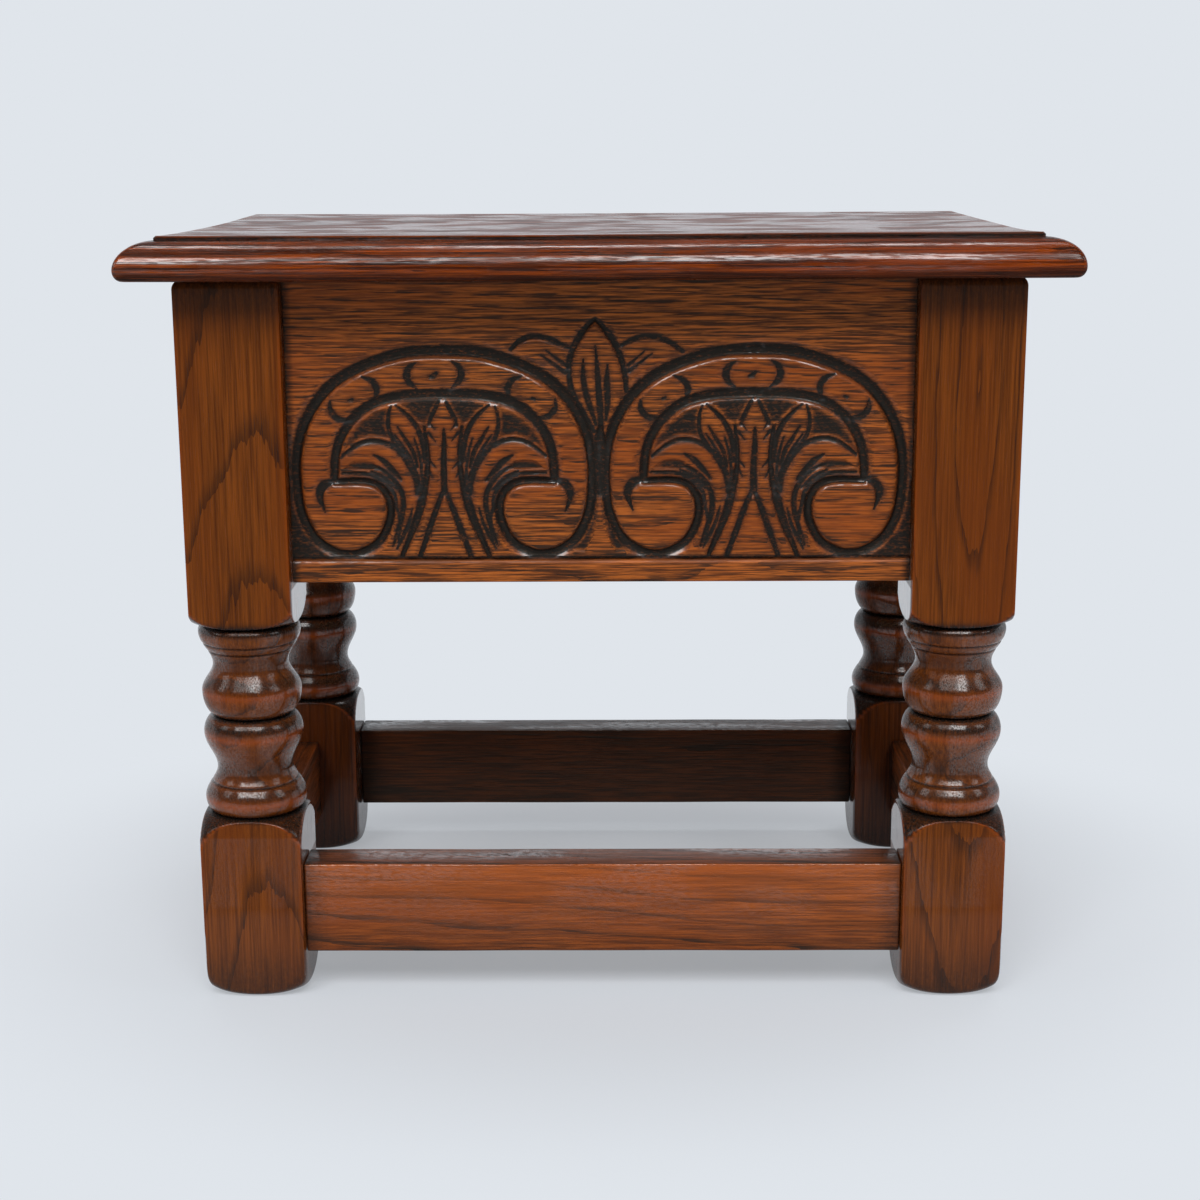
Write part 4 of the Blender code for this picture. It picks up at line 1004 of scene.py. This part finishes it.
studio = {
    "pale": srgb(224, 229, 235), "dim": (0.1, 0.1, 0.105, 1),
    # sines of the height above the floor: the pale wall is higher behind the stool
    "frontPale": 0.04, "backPale": 0.38, "paleFade": 0.08, "wallTurn": (-0.3, 0.5),
    "boxes": (  # direction, half width and half height, strength
        ((-0.06, -0.64, 0.76), 0.50, 0.24, 7.5),
        ((0.05, 0.40, 0.92), 0.35, 0.10, 6.0),
        ((-0.80, -0.25, 0.55), 0.16, 0.20, 2.0),
        ((0.80, -0.25, 0.55), 0.16, 0.20, 2.0),
    ),
    "floor": srgb(203, 207, 213), "fleck": srgb(195, 200, 206), "floorGlow": 0.42,
    "floorSize": 120, "floorFade": (0.17, 0.44),  # metres, the fade from the stool's middle
}


def addLight():
    world = bpy.data.worlds.new("studio")
    bpy.context.scene.world = world
    world.use_nodes = True
    back = world.node_tree.nodes["Background"]
    coords = world.node_tree.nodes.new("ShaderNodeTexCoord")
    ray = Wire(world.node_tree, coords.outputs["Generated"])
    parts = ray.node("ShaderNodeSeparateXYZ", {}, {0: ray})
    rise = parts.out(2)
    wall = parts.out(1).span(*studio["wallTurn"]) * (studio["backPale"] - studio["frontPale"]) + studio["frontPale"]
    glow = (rise - wall).span(0.0, studio["paleFade"]).tint(studio["pale"], studio["dim"])

    def along(axis):
        return ray.vector("DOT_PRODUCT", tuple(axis), out=1)

    for toward, wide, tall, strength in studio["boxes"]:
        toward = Vector(toward).normalized()
        across = toward.cross(Vector((0, 0, 1))).normalized()
        upward = across.cross(toward)
        mask = 1 - ray.math("ABSOLUTE", along(across)).span(wide * 0.8, wide)
        mask = mask * (1 - ray.math("ABSOLUTE", along(upward)).span(tall * 0.75, tall))
        mask = mask * along(toward).span(0.2, 0.3)
        glow = mask.tint(glow, (strength, strength, strength, 1))
    cameraRay = ray.node("ShaderNodeLightPath")
    cameraRay.tint(glow, studio["pale"]).feed(back.inputs["Color"])  # the camera sees an even backdrop


def addFloor():
    deselect()
    bpy.ops.mesh.primitive_grid_add(
        x_subdivisions=24, y_subdivisions=24, size=studio["floorSize"], location=(0, 0, 0))
    floor = named("floor")
    finish, shader, place = newFinish("floor_paper")
    fleck = place.noise((90, 90, 90), 2.0)
    (fleck * 0.04).tint(studio["floor"], studio["fleck"]).feed(shader.inputs["Base Color"])
    shader.inputs["Roughness"].default_value = 0.9
    shader.inputs["Specular IOR Level"].default_value = 0.0
    reach = place.vector("MULTIPLY", (1, 1.3, 1)).vector("LENGTH", out=1)
    rays = place.node("ShaderNodeLightPath")  # camera, then glossy and transmission
    seen = rays.math("MAXIMUM", rays, rays.math("MAXIMUM", rays.out(3), rays.out(6)))
    # painted light: for camera and glossy rays the floor glows pale, which thins the stool's shadow near it and
    # hides it farther out
    paleGlow = (reach.span(*studio["floorFade"]) * (1 - studio["floorGlow"]) + studio["floorGlow"]) * seen
    pale = place.node("ShaderNodeEmission", {}, {0: studio["pale"]})
    blend = place.node("ShaderNodeMixShader", {}, {0: paleGlow, 1: Wire(place.tree, shader.outputs[0]), 2: pale})
    blend.feed(finish.node_tree.nodes["Material Output"].inputs["Surface"])
    floor.data.materials.append(finish)


bpy.context.scene.view_settings.view_transform = "Standard"
addCamera()
addLight()
addFloor()
print("camera, light and floor set")

# Finishes and pieces

lidOak = oak("oak_lid", shift=(120, 40, 9), pith=(40, 250), lean=(0, 0.03), ringGap=5.0, waver=16, boards=(-85, 88),
             ringDepth=0.5, dark=srgb(54, 19, 4), light=srgb(140, 60, 9), warm=srgb(118, 45, 4),
             line=srgb(36, 15, 7), pore=srgb(24, 12, 8), bright=srgb(136, 64, 18), fibre=(0.012, 0.9, 0.9),
             streaks=(0.4, 0.6), dash=(0.03, 0.8, 0.8), dashCut=(0.5, 0.58), dashDepth=0.8, rough=0.14, bump=0.9,
             grit=0.3, gloss=0.1, glint=(1.0, 0.92, 0.85, 1.0), cloud=0.26, coat=1.8, speck=(0.1, 1.6, 1.6))
legLook = {
    "run": "z", "ringGap": 9.0, "waver": 9.0, "ringEdge": 0.2, "ringDepth": 0.9, "streaks": (0.24, 0.76),
    "fibre": (0.02, 0.8, 0.8), "dark": srgb(72, 33, 6), "light": srgb(122, 63, 16), "warm": srgb(104, 48, 7),
    "line": srgb(34, 18, 9), "pore": srgb(36, 19, 10), "bright": srgb(150, 64, 7),
    "dash": (0.02, 0.6, 0.6), "dashCut": (0.54, 0.7), "dashDepth": 0.36, "rough": 0.21, "bump": 0.6, "grit": 0.6,
    "gloss": 0.1, "glint": (1.0, 0.95, 0.9, 1.0), "coat": 1.68, "speck": (0.8, 2.2, 2.2),
}
backShadeLook = {"dark": srgb(54, 24, 7), "light": srgb(94, 46, 14), "warm": srgb(80, 35, 7)}  # painted shade: darker wood on the back legs and back rail, for the shade under the box
posts = {  # middle of each leg, and its own cut from the log
    "front_left": ((-166, -102), {"shift": (30, 210, 77), "pith": (-96, 158), "lean": (-0.12, 0)}),
    "front_right": ((166, -102), {"shift": (510, 80, 20), "pith": (-90, -170), "lean": (0.12, 0)}),
    "back_right": ((166, 102), {"shift": (230, 330, 140), "pith": (60, -120), "lean": (0.1, 0.04), **backShadeLook}),
    "back_left": ((-166, 102), {"shift": (740, 15, 260), "pith": (70, 190), "lean": (-0.09, 0.05), **backShadeLook}),
}
panelOak = oak("oak_panel", shift=(400, 12, 64), pith=(-40, 200), lean=(0, 0.04), ringGap=3.4, waver=18)
sideOak = oak("oak_side", run="y", shift=(90, 512, 31), pith=(30, 200), lean=(0, 0.04), ringGap=3.6, waver=16)
railLook = {
    "ringGap": 7.5, "waver": 16.0, "ringEdge": 0.26, "ringDepth": 1.0,
    "dash": (0.02, 0.5, 0.5), "dashCut": (0.47, 0.56), "dashDepth": 0.9, "rough": 0.36, "gloss": 0.25,
    "dark": srgb(92, 43, 14), "light": srgb(152, 78, 27), "warm": srgb(132, 60, 15),
}
railOak = oak("oak_rail", shift=(77, 190, 5), pith=(-150, 10), lean=(0.03, 0.05), **railLook)
backRailShadedOak = oak("oak_back_rail_shaded", shift=(310, 25, 64), pith=(-40, 30), lean=(0.02, 0.03),
                  **{**railLook, **backShadeLook})
endRailOak = oak("oak_end_rail", run="y", shift=(11, 33, 85), pith=(30, 10), lean=(0, 0.05), **railLook)

handOver(makeLid(), "lid", "lid_oak", lidOak, "lid")
print("lid made")
pattern = makeLeg()
for turn, (name, ((x, y), cut)) in enumerate(posts.items()):
    matrix = Matrix.Translation((x * mm, y * mm, 0)) @ Matrix.Rotation(turn * math.pi / 2, 4, "Z")
    legOak = oak("oak_leg_" + name, **{**legLook, **cut})
    post = copyPiece(pattern, "post_" + name, matrix)
    polishInside(post, x)
    handOver(post, "carcass", "leg_oak", legOak, "leg_" + name)
bpy.data.objects.remove(pattern)
print("legs turned")
for side in sides:
    ends = side in ("left", "right")
    handOver(makeBoard(side), "carcass", "panel_oak", sideOak if ends else panelOak, "panel_" + side)
    railFinish = endRailOak if ends else backRailShadedOak if side == "back" else railOak
    handOver(makeRail(side), "carcass", "stretcher_oak", railFinish, "stretcher_" + side)
    print(side, "board and rail made")

dealLook = {
    "dark": srgb(160, 122, 82), "light": srgb(188, 153, 112), "warm": srgb(174, 132, 88), "line": srgb(140, 97, 58),
    "pore": srgb(132, 94, 60), "ringGap": 6.0, "ringEdge": 0.5, "ringDepth": 0.55, "dashDepth": 0.3, "rough": 0.6,
    "bump": 0.3, "gloss": 0.2, "glint": (1.0, 1.0, 1.0, 1.0),
}
deal = oak("deal", shift=(60, 15, 300), pith=(60, 60), **dealLook)
endDeal = oak("deal_end", run="y", shift=(20, 150, 3), pith=(60, 60), **dealLook)
plywood = oak("plywood", shift=(5, 77, 41), pith=(20, 260), **{**dealLook, "ringGap": 9.0, "waver": 40.0})
handOver(makeFloor(), "carcass", "floor_board", plywood, "bottom_board")
for side in sides:
    stripFinish = endDeal if side in ("left", "right") else deal
    handOver(makeBearer(side), "carcass", "bearer_deal", stripFinish, "bearer_" + side)
print("box floor made")

brass = metal("brass", srgb(196, 162, 94), srgb(166, 130, 70), 0.28)
steel = metal("steel", srgb(168, 166, 162), srgb(112, 108, 102), 0.34)
hangs = {"box": Matrix(), "lid": Matrix.Rotation(math.pi, 4, "Z") @ Matrix.Rotation(-math.pi / 2, 4, "X")}
drives = {"box": (0, -1, 0), "lid": (0, 0, 1)}
bodies = {"box": "carcass", "lid": "lid"}
leaves = {"box": makeLeaf("leaf_pattern_box", 0), "lid": makeLeaf("leaf_pattern_lid", 1)}
pin = rod("pin_pattern", hingeSet["pin"], -hingeSet["length"] / 2, hingeSet["length"] / 2, hingeSet["pinArris"])
smooth(pin, hingeSet["crease"])
shortScrew, longScrew = makeScrew(screwSet["hingeLength"]), makeScrew(screwSet["bearerLength"])
rng = np.random.default_rng(8)
for hand, way in (("left", -1), ("right", 1)):
    axis = Matrix.Translation(Vector((way * hingeSet["middle"], *hingeSet["axis"])) * mm)
    handOver(copyPiece(pin, "rivet_" + hand, axis), "carcass", "hinge_brass", brass, "hinge_%s_pin" % hand)
    for part in ("box", "lid"):
        leaf = copyPiece(leaves[part], "leaf_%s_%s" % (hand, part), axis @ hangs[part])
        handOver(leaf, bodies[part], "hinge_brass", brass, "hinge_%s_%s_leaf" % (hand, part))
        for number in (1, 2, 3):
            node = "hinge_%s_%s_screw_%d" % (hand, part, number)
            turn = rng.uniform(0, math.pi)  # no two slots line up
            driveScrew(shortScrew, node, drives[part], turn, bodies[part], "hinge_brass", brass)
for side in sides:
    for number in (1, 2):
        node = "bearer_%s_screw_%d" % (side, number)
        driveScrew(longScrew, node, aims[side], rng.uniform(0, math.pi), "carcass", "screw_steel", steel)
for pattern in (*leaves.values(), pin, shortScrew, longScrew):
    bpy.data.objects.remove(pattern)
print("hinges and screws made")

deselect()
